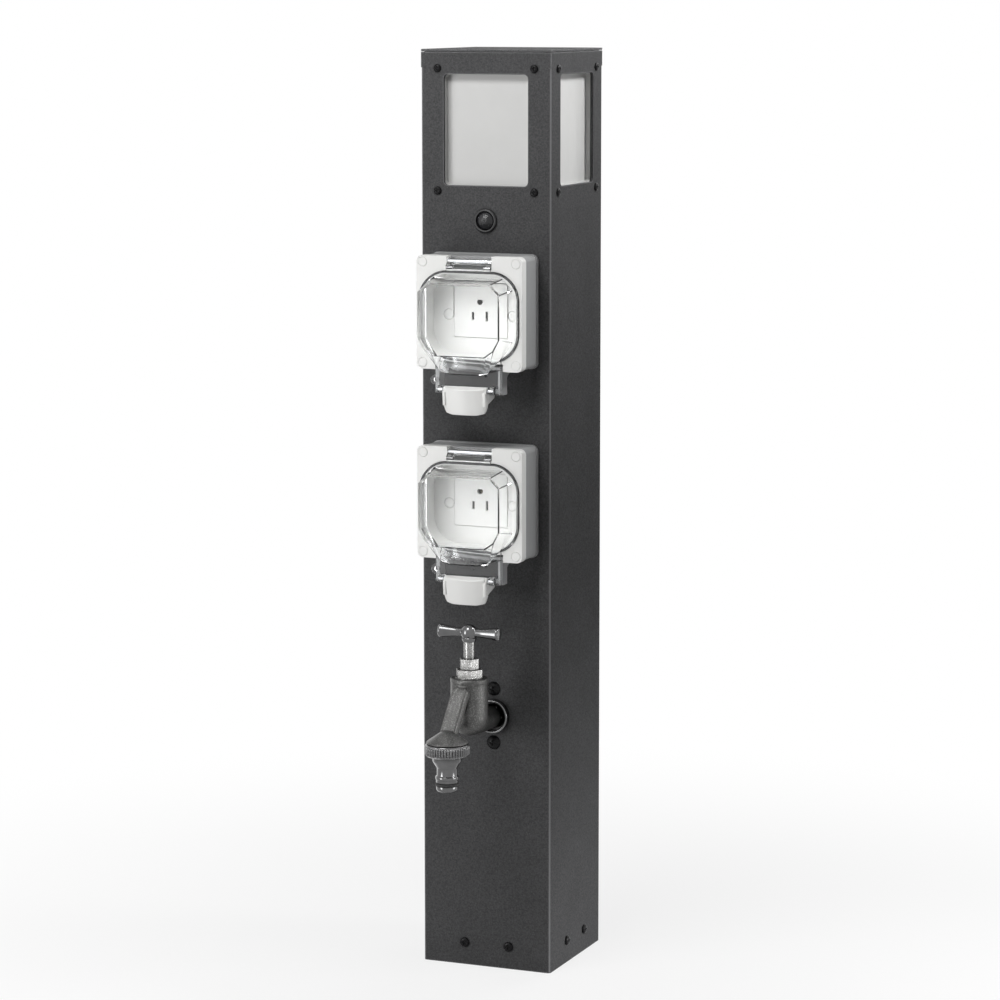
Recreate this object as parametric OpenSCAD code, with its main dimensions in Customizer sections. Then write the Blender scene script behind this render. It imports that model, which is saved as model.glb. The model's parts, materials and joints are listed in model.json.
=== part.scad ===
// Garden socket post: a square sheet-steel post with a four-sided lamp, a motion sensor,
// two weatherproof outlets with clear hoods, and a garden tap.
// Origin: centre of the footprint, on the ground. +Z is up and the outlets face -Y.

/* [Post] */
// Side of the square post, measured over the sheet
post_w = 120; // [116:1:128]
// Height from the ground to the top of the cap
post_h = 800; // [760:5:860]
// Thickness of the folded steel sheet
sheet_t = 2; // [1.5:0.25:2.25]
// Inner radius of the folded upright corners
fold_r = 0.6; // [0.4:0.1:1.6]
// Height of the squared band at the top of the casing
band_h = 13.6; // [8:0.5:16]
// Outer corner radius of the squared band and of the cap
band_r = 0.5; // [0.3:0.1:1]

/* [Cap] */
// Thickness of the cap plate
cap_t = 2; // [1.5:0.25:3]
// Shadow gap between the cap plate and the casing
cap_gap = 0.4; // [0.3:0.1:0.8]
// Depth of the cap's inner skirt
skirt_h = 7.5; // [5:0.5:8]
// Wall of the cap's inner skirt
skirt_t = 1.5; // [1:0.25:2]

/* [Foot] */
// Thickness of the foot plate
foot_t = 4; // [3:0.5:6]
// Width of the foot plate around its opening for cable and pipe
foot_rim = 19; // [18:0.5:21]
// Width of each upright tab of the foot
tab_w = 66; // [60:1:72]
// Height of the tabs above the ground
tab_h = 36; // [30:1:50]
// Thickness of the tabs
tab_t = 3.5; // [3:0.25:4]
// Distance of the anchor holes from the inside of the sheet
anchor_in = 11; // [10:0.5:12]
// Radius of the anchor holes
anchor_r = 4.5; // [3.5:0.25:5]
// Height of the foot screws above the ground
foot_screw_z = 20; // [16:1:26]
// Half the spacing of the two foot screws on a side
foot_screw_half = 20.7; // [16:0.1:26]
// Radius of the foot screw's head
foot_head_r = 4.3; // [3.8:0.1:5]
// Height of the foot screw's head
foot_head_h = 2.4; // [1.8:0.1:3]
// Radius of the foot screw's shank
foot_shank_r = 2; // [1.5:0.1:2.5]

/* [Lamp windows] */
// Width of the sheet beside the window cut-out
win_side = 21.25; // [20.5:0.25:24]
// Height of the window cut-out
win_h = 94.4; // [88:0.2:95]
// Corner radius of the window cut-out
win_r = 4; // [3:0.5:6]
// Depth of the window's centre below the top of the post
win_drop = 68.2; // [66:0.2:70]
// Distance of the window screws beside the cut-out
win_screw_out = 5.75; // [5.5:0.05:6.2]
// Distance of the window screws above and below the cut-out
win_screw_over = 4.8; // [4.6:0.1:5.2]
// Radius of the window screw's head
win_head_r = 3.5; // [3:0.1:3.8]
// Height of the window screw's head
win_head_h = 2; // [1.5:0.1:2.5]
// Radius of the window screw's shank
win_shank_r = 1.75; // [1.5:0.05:2]
// Thickness of the window gasket
gasket_t = 1; // [0.8:0.1:1.5]
// Thickness of the moulded window
win_wall = 2; // [1.5:0.1:2.4]
// Depth of the window's face behind the outside of the sheet
win_recess = 7.5; // [6.5:0.25:8]
// Radius of the window's screw bosses
win_boss_r = 3.9; // [3.5:0.1:4]
// Depth of the window's screw bosses
win_boss_h = 5; // [4:0.5:6]

/* [Lamp] */
// Distance of the lamp shelf below the window's centre
shelf_drop = 62.2; // [60:0.2:64]
// Thickness of the lamp shelf
shelf_t = 1.5; // [1.2:0.1:2]
// Depth of the lamp shelf from front to back
shelf_d = 70; // [60:1:80]
// Height of the shelf's folded ends
shelf_lip = 14; // [10:1:16]
// Radius of the lamp holder's foot
holder_foot_r = 21; // [20:0.5:24]
// Radius of the lamp holder's barrel
holder_r = 16.2; // [16:0.1:18]
// Height of the lamp holder
holder_h = 29; // [26:1:32]
// Radius of the bulb's screw cap
bulb_cap_r = 13.3; // [13:0.1:13.5]
// Radius of the bulb's globe
bulb_r = 29; // [24:0.5:32]
// Height of the bulb from cap to crown
bulb_h = 103; // [96:1:104]

/* [Motion sensor] */
// Depth of the sensor below the top of the post
sensor_drop = 145; // [144:0.5:146]
// Outer radius of the sensor's bezel
bezel_r = 10.5; // [10:0.1:12]
// Height of the sensor's bezel
bezel_h = 2.4; // [2:0.1:3]
// Radius of the sensor's body
sensor_r = 8; // [7.5:0.1:8.5]
// Length of the sensor's body behind the sheet's face
sensor_len = 24; // [20:1:28]
// Height of the sensor's dome above the sheet
dome_h = 5.2; // [4.6:0.1:6]
// Corner radius of the sensor's lock nut
sensor_nut_r = 12.5; // [11.5:0.1:14]
// Thickness of the sensor's lock nut
sensor_nut_h = 4; // [3:0.5:6]

/* [Outlets] */
// Depth of the upper outlet's centre below the top of the post
outlet_drop = 221.3; // [220:0.1:222]
// Spacing of the two outlets
outlet_pitch = 163; // [162:0.5:168]
// Side of the back box
box_w = 96; // [88:0.5:104]
// Corner radius of the back box
box_r = 5; // [4:0.5:6]
// Depth of the back box
box_d = 27.5; // [27:0.1:28]
// Wall of the back box
box_wall = 2.5; // [2:0.1:3]
// Rim that the back box's rear lip stands proud by
lip_out = 0.9; // [0.5:0.1:1.5]
// Thickness of the back box's rear lip
lip_t = 3.5; // [3:0.1:4]
// Side of the rear opening of the back box
rear_open = 48.6; // [48.4:0.1:49]
// Overhang of the front frame over the back box
frame_over = 0.5; // [0.3:0.1:1]
// Depth of the front frame
frame_d = 9.3; // [9:0.1:10]
// Corner radius of the front frame
frame_r = 5; // [4:0.5:6]
// Width of the front frame beside its opening
rim_side = 5.5; // [5.4:0.1:6]
// Width of the front frame above its opening
rim_top = 15.5; // [15.3:0.1:16]
// Width of the front frame below its opening
rim_foot = 10.5; // [10.3:0.1:11]
// Corner radius of the opening in the front frame
open_r = 22; // [18:0.5:24]
// Distance of the corner screws from the edge of the front frame
corner_in = 5.6; // [5.4:0.1:5.8]
// Radius of the frame's screw caps
cap_r = 4; // [3.6:0.1:4.1]
// Depth of the frame's screw caps
screw_cap_d = 2.5; // [2:0.1:3]
// Radius of the corner bosses in the back box
corner_boss_r = 4; // [3.6:0.1:4.2]
// Half the width of the hinge notch in the frame
hinge_half = 20.6; // [19:0.1:22]
// Half the width of the cable notch under the frame
throat_half = 31; // [30.8:0.1:31.5]
// Depth of the cable notch under the frame
throat_d = 6.5; // [6:0.1:6.8]
// Width of the lid seal
seal_w = 2; // [1.8:0.1:2.2]
// Depth of the seal's groove
seal_groove = 2.5; // [2:0.1:3]
// Height of the seal above the frame
seal_proud = 0.6; // [0.4:0.1:0.7]
// Clearance of the parts that lie beside each other
fit_gap = 0.3; // [0.2:0.05:0.4]

/* [Socket] */
// Height of the carrier's floor above the post
carrier_z = 12; // [11.5:0.1:12.5]
// Thickness of the carrier's floor
carrier_t = 3; // [2.6:0.1:3.2]
// Wall of the carrier's tub
carrier_wall = 2; // [1.6:0.1:2.2]
// Half the spacing of the carrier's screws
carrier_screw_x = 29; // [28.9:0.1:29.5]
// Drop of the carrier's screws below the outlet's centre
carrier_screw_drop = 3.5; // [3:0.1:4]
// Radius of the carrier screw's head
carrier_head_r = 4.7; // [4.2:0.1:4.8]
// Height of the carrier screw's head
carrier_head_h = 1.3; // [1:0.1:1.5]
// Width of the socket insert
insert_w = 47.5; // [47:0.1:47.8]
// Height of the socket insert
insert_h = 45; // [44.5:0.1:45.5]
// Height of the insert's face above the carrier's floor
insert_proud = 0.5; // [0.3:0.1:1]
// Depth of the insert's body behind the post's face
insert_back = 12; // [10:0.5:14]
// Wall of the insert in front of its contacts
insert_front_t = 2.6; // [2.2:0.1:3]
// Distance between the centre lines of the two flat slots
slot_pitch = 12.7; // [12.5:0.1:12.9]
// Width of the flat slots
slot_w = 2; // [1.8:0.1:2.1]
// Height of the shorter slot
slot_short = 6.6; // [6.4:0.1:7]
// Height of the longer slot
slot_long = 8.3; // [8:0.1:8.6]
// Drop of the slots below the outlet's centre
slot_drop = 4.3; // [4:0.1:4.6]
// Radius of the earth hole
earth_r = 2.5; // [2.4:0.1:2.7]
// Height of the earth hole above the outlet's centre
earth_up = 8; // [7.8:0.1:8.2]
// Thickness of the contact springs
leaf_t = 0.8; // [0.6:0.05:0.9]

/* [Clear hood] */
// Distance of the hood's foot inside the opening of the front frame
hood_in = 2; // [1.8:0.1:2.4]
// Slope of the hood's sides between its foot and its face
side_draft = 3.6; // [3:0.1:4.5]
// Slope of the hood's top between its foot and its face
top_draft = 3.7; // [3:0.1:4.5]
// Chamfer of the hood's upper corners
hood_chamfer = 8.4; // [7.5:0.1:10]
// Height above the post at which the hood's face lies
hood_z = 60; // [58:0.5:61]
// Height of the lower corners of the hood's face
face_corner_h = 15; // [13:0.5:17]
// Width of the lower corners of the hood's face
face_corner_w = 13.4; // [12:0.2:15]
// Drop of the chin's rim below the hood's foot, over the cable mouth
chin_below = 15.5; // [14:0.25:16]
// Half the width of the chin's rim
chin_half = 21.3; // [20:0.1:22]
// Distance of the chin's rim in front of the post
chin_z = 48.5; // [48:0.25:50]
// Wall of the clear hood
hood_wall = 2; // [1.8:0.1:2.4]
// Thickness of the hood's flange and apron
flange_t = 2; // [1.8:0.1:2.2]
// Half the width of the apron
apron_half = 30; // [29.8:0.1:30.5]
// Drop of the apron's lower edge below the back box
apron_below = 20; // [19.8:0.1:20.4]
// Distance of the hinge pin below the top of the front frame
pin_in = 4.9; // [4.7:0.1:5.2]
// Distance of the hinge pin in front of the post
pin_z = 33; // [32.8:0.1:33.2]
// Radius of the hinge pin
pin_r = 1.5; // [1.2:0.1:1.6]
// Radius of the hood's hinge barrel
barrel_r = 3.3; // [3:0.1:3.4]
// Running clearance of the hinges
hinge_play = 0.08; // [0.05:0.01:0.1]

/* [Latch] */
// Height of the latch pin above the apron's lower edge
latch_up = 3.5; // [3.4:0.1:3.6]
// Distance of the latch pin in front of the post
latch_z = 43.5; // [43.4:0.1:43.7]
// Radius of the latch pin
latch_pin_r = 1; // [0.8:0.05:1.2]
// Radius of the latch's own barrel
latch_barrel_r = 3.1; // [2.8:0.1:3.2]
// Half the width of the latch
latch_half = 20.4; // [19:0.1:21]
// Half the width of the latch's upper edge
latch_top_half = 18; // [17:0.1:18.5]
// Half the width of the latch's lower edge
latch_low_half = 17.4; // [16:0.1:18]
// Length of the latch below its pin
latch_len = 20.9; // [19.5:0.1:22.5]
// Distance of the latch's lower edge in front of the post
latch_face = 48.2; // [48:0.1:49]
// Distance by which the latch's upper edge leans further out
latch_lean = 2.8; // [2:0.1:3]
// Radius of the latch's curved face
latch_face_r = 120; // [100:5:200]
// Thickness of the latch's face
latch_t = 2.4; // [2:0.1:2.8]
// Thickness of the latch's side cheeks
cheek_t = 2.6; // [2:0.1:3]
// Width of the hood's latch lugs
lug_w = 4.4; // [3.5:0.1:5]

/* [Tap] */
// Offset of the tap to the right of the post's middle
tap_x = 7; // [0:0.5:9]
// Depth of the tap's inlet below the lower outlet's centre
tap_drop = 190.2; // [186:0.2:196]
// Distance of the tap's barrel in front of the post
tap_reach = 54; // [52:0.5:58]
// Radius of the tap's barrel
tap_r = 16; // [15.6:0.1:16.5]
// Rise of the barrel's rim above the inlet
tap_rim = 43.5; // [43:0.1:45]
// Radius of the threaded inlet
inlet_r = 10.48; // [10.3:0.02:10.6]
// Length of the threaded inlet behind the post's face
inlet_len = 20; // [18:0.5:22]
// Radius of the wall flange
tap_flange_r = 15; // [14.5:0.1:16]
// Height of the wall flange
tap_flange_h = 7; // [6:0.5:8]
// Distance of the outlet's axis in front of the post
nose_reach = 102; // [101:0.5:104]
// Radius of the spout
spout_r = 7.8; // [7:0.1:8.5]
// Radius of the outlet's thread
nose_r = 13.22; // [13:0.02:13.4]
// Rise of the valve from closed to open
valve_lift = 4; // [3:0.5:4]
// Length of the handle's bar
bar_len = 56; // [50:1:60]
// Height of the handle's ball above the inlet
ball_up = 82.5; // [82:0.5:84]
// Radius of the handle's ball
ball_r = 7.1; // [6.8:0.1:8]
// Radius of the spindle
spindle_r = 4.8; // [4.5:0.1:5]
// Spacing of the tap plate's screws from the inlet
tap_screw_up = 23.8; // [23.4:0.1:24.2]
// Radius of the tap plate's domed screw heads
tap_head_r = 6.35; // [6:0.05:6.6]
// Height of the tap plate's domed screw heads
tap_head_h = 4; // [3:0.1:4.5]
// Radius of the tap plate's screw shanks
tap_shank_r = 2.8; // [2.4:0.1:3]

/* [Water pipe] */
// Distance of the riser pipe behind the post's front face
riser_back = 35; // [34:0.5:37]
// Outer radius of the riser pipe
riser_r = 8; // [7.5:0.1:8.2]
// Wall of the riser pipe
riser_wall = 2; // [1.5:0.1:2.2]
// Height of the inlet coupling's lower face above the ground
coupling_z = 8; // [6:0.5:12]
// Height of the inlet coupling
coupling_h = 24; // [22:1:28]
// Corner radius of the inlet coupling's hexagon
coupling_r = 13.8; // [13:0.1:14]
// Radius of the coupling's threaded bore
thread_r = 9.3; // [9:0.05:9.4]

/* [Wiring] */
// Width of the terminal box
term_w = 80; // [70:1:90]
// Height of the terminal box
term_h = 90; // [80:1:96]
// Depth of the terminal box without its cover
term_d = 36; // [34:0.5:38]
// Wall of the terminal box
term_wall = 2.5; // [2:0.1:3]
// Drop of the terminal box's top below the lower outlet's centre
term_drop = 44; // [42:1:48]
// Radius of the outlet leads
lead_r = 3.5; // [3:0.1:3.8]
// Bend radius of the outlet leads
lead_bend = 18; // [15:0.5:20]
// Sideways offset of the outlet leads from the post's middle
lead_x = 17; // [14:0.5:18]
// Distance of the leads in front of the back sheet
lead_back = 20; // [18:0.5:22]
// Distance of the supply cable's gland in front of the back sheet
supply_back = 26; // [25:0.5:27]

/* [Hidden] */
$fn = 72;

half_w = post_w / 2;
inner_w = post_w - 2 * sheet_t;
inner_half = inner_w / 2;
win_z = post_h - win_drop;
shelf_z = win_z - shelf_drop;
sensor_z = post_h - sensor_drop;
upper_z = post_h - outlet_drop;
lower_z = upper_z - outlet_pitch;
tap_z = lower_z - tap_drop;

foot_open = inner_w - 2 * foot_rim;
anchor_half = inner_half - anchor_in;
win_w = post_w - 2 * win_side;
win_screw_x = win_w / 2 + win_screw_out;
win_screw_y = win_h / 2 + win_screw_over;

// Cutting tools reach this far past the faces that they cut
over = 1;
// Clearance of a screw's shank in the pieces that it passes
shank_play = 0.15;
// Seat between two pieces that rest against each other
seat = 0.3;
// Clearance of pins and spindles that are held fast in their bores
press_gap = 0.02;

win_flange_w = 2 * (win_screw_x + win_boss_r + 0.6);
win_flange_h = 2 * (win_screw_y + win_boss_r + 0.6);
win_tray_gap = 0.4;

// The sensor's hole, and how deep its dome and bezel sit on it
sensor_face = 0.6;
bezel_in = sensor_r + 0.15;

frame_w = box_w + 2 * frame_over;
open_w = frame_w - 2 * rim_side;
open_h = frame_w - rim_top - rim_foot;
open_drop = (rim_top - rim_foot) / 2;
corner_half = frame_w / 2 - corner_in;
pin_up = frame_w / 2 - pin_in;
seal_in_w = open_w + 2;
seal_in_h = open_h + 2;
seal_out_w = seal_in_w + 2 * seal_w;
seal_out_h = seal_in_h + 2 * seal_w;
seal_top = seal_out_h / 2 - open_drop;
frame_face = box_d + frame_d;
flange_z = frame_face + seal_proud + 0.2;
flange_face = flange_z + flange_t;
rear_corner_r = 2;

// The catch under each back box, which the latch's cheeks hold from below
leg_t = 3.5;
leg_half = throat_half - 0.5;
leg_face = flange_z - seat;
leg_rear = 26;
apron_drop = box_w / 2 + apron_below;
leg_drop = apron_drop + 0.5;
catch_d = 4;
catch_h = 3.5;
catch_drop = apron_drop;

insert_face = carrier_z + insert_proud;
chamber_top = insert_face - insert_front_t;
insert_rear_wall = 2.4;
contact_play = 0.25;
shoulder_t = 2.4;
term_top = lower_z - term_drop;
lead_y = inner_half - lead_back;
supply_y = inner_half - supply_back;

hood_foot_half = open_w / 2 - hood_in;
hood_foot_top = open_h / 2 - open_drop - hood_in;
foot_drop = open_h / 2 + open_drop - hood_in;
hood_face_half = hood_foot_half - side_draft;
hood_face_top = hood_foot_top - top_draft;
face_drop = foot_drop - 1;
hood_low = face_drop - face_corner_h;
face_low_half = hood_face_half - face_corner_w;
chin_drop = foot_drop + chin_below;
latch_drop = apron_drop - latch_up;
latch_low = latch_drop + latch_len;

// A rectangle with round corners, centred on the origin
module round_rect(w, h, r) {
  square([w - 2 * r, h], center = true);
  square([w, h - 2 * r], center = true);
  for (x = [-1, 1], y = [-1, 1])
    translate([x * (w / 2 - r), y * (h / 2 - r)]) circle(r);
}

// Puts its children on the front of the post: x to the right, y up, z outwards from the sheet
module on_front(z, x = 0) {
  translate([x, -half_w, z]) rotate([90, 0, 0]) children();
}

// The same on each of the four sides of the post
module on_side(turn, z) {
  rotate([0, 0, turn]) on_front(z) children();
}

// A plate that stands along the x axis, cut to points given as [up, outwards]
module side_plate(x0, t, points) {
  translate([x0, 0, 0]) rotate([90, 0, 90]) linear_extrude(t) polygon(points);
}

// A rod along the x axis at a height and a distance from the post
module cross_rod(r, up, out, x0, x1) {
  translate([x0, up, out]) rotate([0, 90, 0]) cylinder(r = r, h = x1 - x0);
}

module at_corners(x, y) {
  for (i = [-1, 1], j = [-1, 1]) translate([i * x, j * y, 0]) children();
}

// A pan-head screw that points inwards, with its head's seat at z = 0
module pan_screw(head_r, head_h, shank_r, length) {
  rotate_extrude() polygon([
    [0, -length], [shank_r, -length], [shank_r, 0], [head_r, 0],
    [head_r, head_h * 0.45], [head_r * 0.82, head_h * 0.85], [head_r * 0.5, head_h], [0, head_h]
  ]);
}

// Width and depth of the cross recess in the smaller screws
cross_t = 0.9;
cross_depth = 1.1;

// A cross recess for a screw's head
module cross_recess(w, t, depth) {
  for (a = [0, 90]) rotate([0, 0, a]) translate([-w / 2, -t / 2, -depth]) cube([w, t, depth + over]);
}

module post_casing() {
  color("dimgray") difference() {
    union() {
      linear_extrude(post_h - cap_t - band_h) round_rect(post_w, post_w, fold_r + sheet_t);
      translate([0, 0, post_h - cap_t - band_h]) linear_extrude(band_h - cap_gap)
        round_rect(post_w, post_w, band_r);
    }
    translate([0, 0, -over]) linear_extrude(post_h) round_rect(inner_w, inner_w, fold_r);
    for (turn = [0 : 90 : 270]) {
      on_side(turn, win_z) translate([0, 0, -sheet_t - over]) {
        linear_extrude(sheet_t + 2 * over) round_rect(win_w, win_h, win_r);
        at_corners(win_screw_x, win_screw_y)
          cylinder(r = win_shank_r + shank_play, h = sheet_t + 2 * over);
      }
      on_side(turn, foot_screw_z) translate([0, 0, -sheet_t - over])
        for (x = [-foot_screw_half, foot_screw_half]) translate([x, 0, 0])
          cylinder(r = foot_shank_r + shank_play, h = sheet_t + 2 * over);
    }
    on_front(sensor_z) translate([0, 0, -sheet_t - over])
      cylinder(r = sensor_r + shank_play, h = sheet_t + 2 * over);
    for (z = [upper_z, lower_z]) on_front(z) translate([0, 0, -sheet_t - over]) {
      linear_extrude(sheet_t + 2 * over) round_rect(rear_open, rear_open, rear_corner_r);
      at_corners(box_screw_half, box_screw_half)
        cylinder(r = box_shank_r + shank_play, h = sheet_t + 2 * over);
    }
    on_front(tap_z, tap_x) translate([0, 0, -sheet_t - over]) {
      cylinder(r = inlet_r + fit_gap, h = sheet_t + 2 * over);
      for (y = [-tap_screw_up, tap_screw_up]) translate([0, y, 0])
        cylinder(r = tap_shank_r + shank_play, h = sheet_t + 2 * over);
    }
  }
}

module top_cap() {
  skirt_w = inner_w - 2 * fit_gap;
  color("gray") {
    translate([0, 0, post_h - cap_t]) linear_extrude(cap_t) round_rect(post_w, post_w, band_r);
    translate([0, 0, post_h - cap_t - skirt_h]) linear_extrude(skirt_h) difference() {
      round_rect(skirt_w, skirt_w, fold_r);
      square(skirt_w - 2 * skirt_t, center = true);
    }
  }
}

module base_bracket() {
  plate_w = inner_w - 2 * fit_gap;
  color("silver") difference() {
    union() {
      linear_extrude(foot_t) difference() {
        round_rect(plate_w, plate_w, fold_r);
        round_rect(foot_open, foot_open, foot_corner_r);
        at_corners(anchor_half, anchor_half) circle(anchor_r);
      }
      for (turn = [0 : 90 : 270]) rotate([0, 0, turn])
        translate([-tab_w / 2, -plate_w / 2, 0]) cube([tab_w, tab_t, tab_h]);
    }
    for (turn = [0 : 90 : 270], x = [-foot_screw_half, foot_screw_half])
      on_side(turn, foot_screw_z) translate([x, 0, -sheet_t - fit_gap - tab_t - over])
        cylinder(r = foot_shank_r + shank_play, h = tab_t + 2 * over);
  }
}

// Corner radius of the opening in the foot plate
foot_corner_r = 8;

module base_screws() {
  color("black") for (turn = [0 : 90 : 270], x = [-foot_screw_half, foot_screw_half])
    on_side(turn, foot_screw_z) translate([x, 0, 0]) difference() {
      pan_screw(foot_head_r, foot_head_h, foot_shank_r, sheet_t + fit_gap + tab_t + 2);
      translate([0, 0, foot_head_h]) cross_recess(foot_head_r, cross_t, cross_depth);
    }
}

// One opal window: a flange behind the sheet and a tray that is sunk into the post
module lamp_window(turn) {
  flange_back = -sheet_t - gasket_t - win_wall;
  tray_w = win_w - 2 * win_tray_gap;
  tray_h = win_h - 2 * win_tray_gap;
  color("whitesmoke") on_side(turn, win_z) difference() {
    union() {
      translate([0, 0, flange_back]) linear_extrude(win_wall)
        round_rect(win_flange_w, win_flange_h, win_r);
      translate([0, 0, -win_recess - win_wall])
        linear_extrude(win_recess + flange_back + 2 * win_wall)
          round_rect(tray_w + 2 * win_wall, tray_h + 2 * win_wall, win_r + win_wall);
      at_corners(win_screw_x, win_screw_y) translate([0, 0, flange_back - win_boss_h])
        cylinder(r = win_boss_r, h = win_boss_h + win_wall / 2);
    }
    translate([0, 0, -win_recess]) linear_extrude(win_recess + over)
      round_rect(tray_w, tray_h, win_r);
    at_corners(win_screw_x, win_screw_y) translate([0, 0, flange_back - win_boss_h - over])
      cylinder(r = win_shank_r + shank_play, h = win_boss_h + win_wall + 2 * over);
  }
}

module window_gaskets() {
  color("black") for (turn = [0 : 90 : 270]) on_side(turn, win_z)
    translate([0, 0, -sheet_t - gasket_t]) linear_extrude(gasket_t) difference() {
      round_rect(win_flange_w, win_flange_h, win_r);
      round_rect(win_w + 2 * win_tray_gap, win_h + 2 * win_tray_gap, win_r);
      at_corners(win_screw_x, win_screw_y) circle(win_shank_r + shank_play);
    }
}

module window_screws() {
  length = sheet_t + gasket_t + win_wall + win_boss_h;
  color("black") for (turn = [0 : 90 : 270]) on_side(turn, win_z) at_corners(win_screw_x, win_screw_y)
    difference() {
      pan_screw(win_head_r, win_head_h, win_shank_r, length);
      translate([0, 0, win_head_h]) cross_recess(win_head_r * 1.1, cross_t, cross_depth);
    }
}

// Shelf across the post, folded down and welded at both ends
module lamp_shelf() {
  top = shelf_z + shelf_t;
  color("silver") difference() {
    translate([0, shelf_d / 2, 0]) rotate([90, 0, 0]) linear_extrude(shelf_d) polygon([
      [-inner_half, top - shelf_lip], [-inner_half + shelf_t, top - shelf_lip],
      [-inner_half + shelf_t, shelf_z], [inner_half - shelf_t, shelf_z],
      [inner_half - shelf_t, top - shelf_lip], [inner_half, top - shelf_lip],
      [inner_half, top], [-inner_half, top]
    ]);
    translate([0, slot_mid, shelf_z - over]) linear_extrude(shelf_t + 2 * over)
      round_rect(2 * lead_r + 2, slot_len, lead_r);
  }
}

// The two leads rise through one slot in the shelf, at these distances from the post's axis
lamp_lead_y = 6;
sensor_lead_y = -12;
sensor_lead_r = 2.5;
slot_mid = (lamp_lead_y + sensor_lead_y) / 2;
slot_len = lamp_lead_y - sensor_lead_y + 2 * lead_r + 6;

module lamp_holder() {
  foot = shelf_z + shelf_t;
  color("ivory") translate([0, 0, foot]) rotate_extrude() polygon([
    [0, 0], [holder_foot_r, 0], [holder_foot_r, holder_foot_t], [holder_foot_r - 1, holder_foot_t + 1],
    [holder_r + 0.8, holder_foot_t + 2], [holder_r, holder_floor + 1], [holder_r, holder_h - 1],
    [holder_r - 0.8, holder_h], [bulb_cap_r + cap_play, holder_h],
    [bulb_cap_r + cap_play, holder_floor - seat], [0, holder_floor - seat]
  ]);
}

// Thickness of the lamp holder's foot, height of its contact floor, and clearance around the cap
holder_foot_t = 3;
holder_floor = 8;
cap_play = 0.1;
// Length of the bulb's cap, and where the neck meets the globe as a share of the globe's radius
bulb_cap_len = 26;
neck_share = 0.62;

module led_bulb() {
  base = shelf_z + shelf_t + holder_floor;
  ball_z = bulb_h - bulb_r;
  neck_z = ball_z - bulb_r * neck_share;
  neck_r = bulb_r * sqrt(1 - neck_share * neck_share);
  color("white") translate([0, 0, base]) {
    cylinder(r = bulb_cap_r, h = bulb_cap_len);
    translate([0, 0, bulb_cap_len]) cylinder(r1 = bulb_cap_r, r2 = neck_r, h = neck_z - bulb_cap_len);
    translate([0, 0, ball_z]) difference() {
      sphere(bulb_r);
      translate([0, 0, neck_z - ball_z - 2 * bulb_r]) cylinder(r = 2 * bulb_r, h = 2 * bulb_r);
    }
  }
}

module sensor_dome() {
  rise = dome_h - sensor_face;
  dome_r = (sensor_r * sensor_r + rise * rise) / (2 * rise);
  color("black") on_front(sensor_z) translate([0, 0, sensor_face]) intersection() {
    translate([0, 0, rise - dome_r]) sphere(dome_r);
    cylinder(r = sensor_r, h = dome_h);
  }
}

module sensor_bezel() {
  color("black") on_front(sensor_z) rotate_extrude() polygon([
    [bezel_in, 0], [bezel_r, 0], [bezel_r, bezel_h * 0.4], [bezel_r - 0.7, bezel_h * 0.85],
    [bezel_r - 1.2, bezel_h], [bezel_in + 0.3, bezel_h], [bezel_in, bezel_h - 0.4]
  ]);
}

module sensor_body() {
  color("black") on_front(sensor_z) translate([0, 0, -sensor_len])
    cylinder(r = sensor_r, h = sensor_len + sensor_face);
}

module sensor_nut() {
  color("black") on_front(sensor_z) translate([0, 0, -sheet_t - sensor_nut_h]) difference() {
    cylinder(r = sensor_nut_r, h = sensor_nut_h, $fn = 6);
    translate([0, 0, -over]) cylinder(r = sensor_r + shank_play, h = sensor_nut_h + 2 * over);
  }
}

// Screws that hold each back box to the sheet
box_screw_in = 11;
box_screw_half = box_w / 2 - box_screw_in;
box_shank_r = 1.9;
box_head_r = 3.6;
box_head_h = 2.2;

// A back box with its corner bosses, its carrier bosses and the catch under the cable notch
module back_box(z0) {
  color("slategray") on_front(z0) {
    difference() {
      union() {
        linear_extrude(lip_t) round_rect(box_w + 2 * lip_out, box_w + 2 * lip_out, box_r + lip_out);
        linear_extrude(box_d) round_rect(box_w, box_w, box_r);
      }
      translate([0, 0, box_wall]) linear_extrude(box_d) difference() {
        round_rect(box_w - 2 * box_wall, box_w - 2 * box_wall, box_r - box_wall / 2);
        at_corners(corner_half, corner_half) circle(corner_boss_r);
      }
      translate([0, 0, -over]) linear_extrude(box_wall + 2 * over)
        round_rect(rear_open, rear_open, rear_corner_r);
      at_corners(box_screw_half, box_screw_half) translate([0, 0, -over])
        cylinder(r = box_shank_r + shank_play, h = box_wall + 2 * over);
      at_corners(corner_half, corner_half) translate([0, 0, corner_screw_end - seat])
        cylinder(r = corner_shank_r + shank_play, h = box_d);
    }
    for (x = [-carrier_screw_x, carrier_screw_x]) translate([x, -carrier_screw_drop, box_wall / 2])
      difference() {
        cylinder(r = carrier_boss_r, h = carrier_z - carrier_t - box_wall / 2);
        translate([0, 0, box_wall / 2])
          cylinder(r = carrier_shank_r + shank_play, h = carrier_z);
      }
    for (x0 = [-leg_half, leg_half - leg_t]) side_plate(x0, leg_t, [
      [-box_w / 2 + box_wall / 2, leg_root], [-box_w / 2 + box_wall / 2, box_d], [-box_w / 2, box_d],
      [-box_w / 2, leg_face], [-leg_drop + 3, leg_face], [-leg_drop, leg_face - 3],
      [-leg_drop, leg_rear], [-box_w / 2 - 6, leg_rear], [-box_w / 2, leg_root]
    ]);
    translate([-leg_half + leg_t / 2, -catch_drop, leg_rear])
      cube([2 * leg_half - leg_t, catch_h, catch_d]);
  }
}

// Where the catch's legs spring from the underside of the back box
leg_root = 16;
// Reach of the frame's corner screws into the back box, and their radius
corner_screw_end = 14;
corner_shank_r = 1.6;
corner_head_r = 3.1;
corner_head_h = 2.4;
carrier_boss_r = 4;
carrier_shank_r = 1.6;

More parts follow.
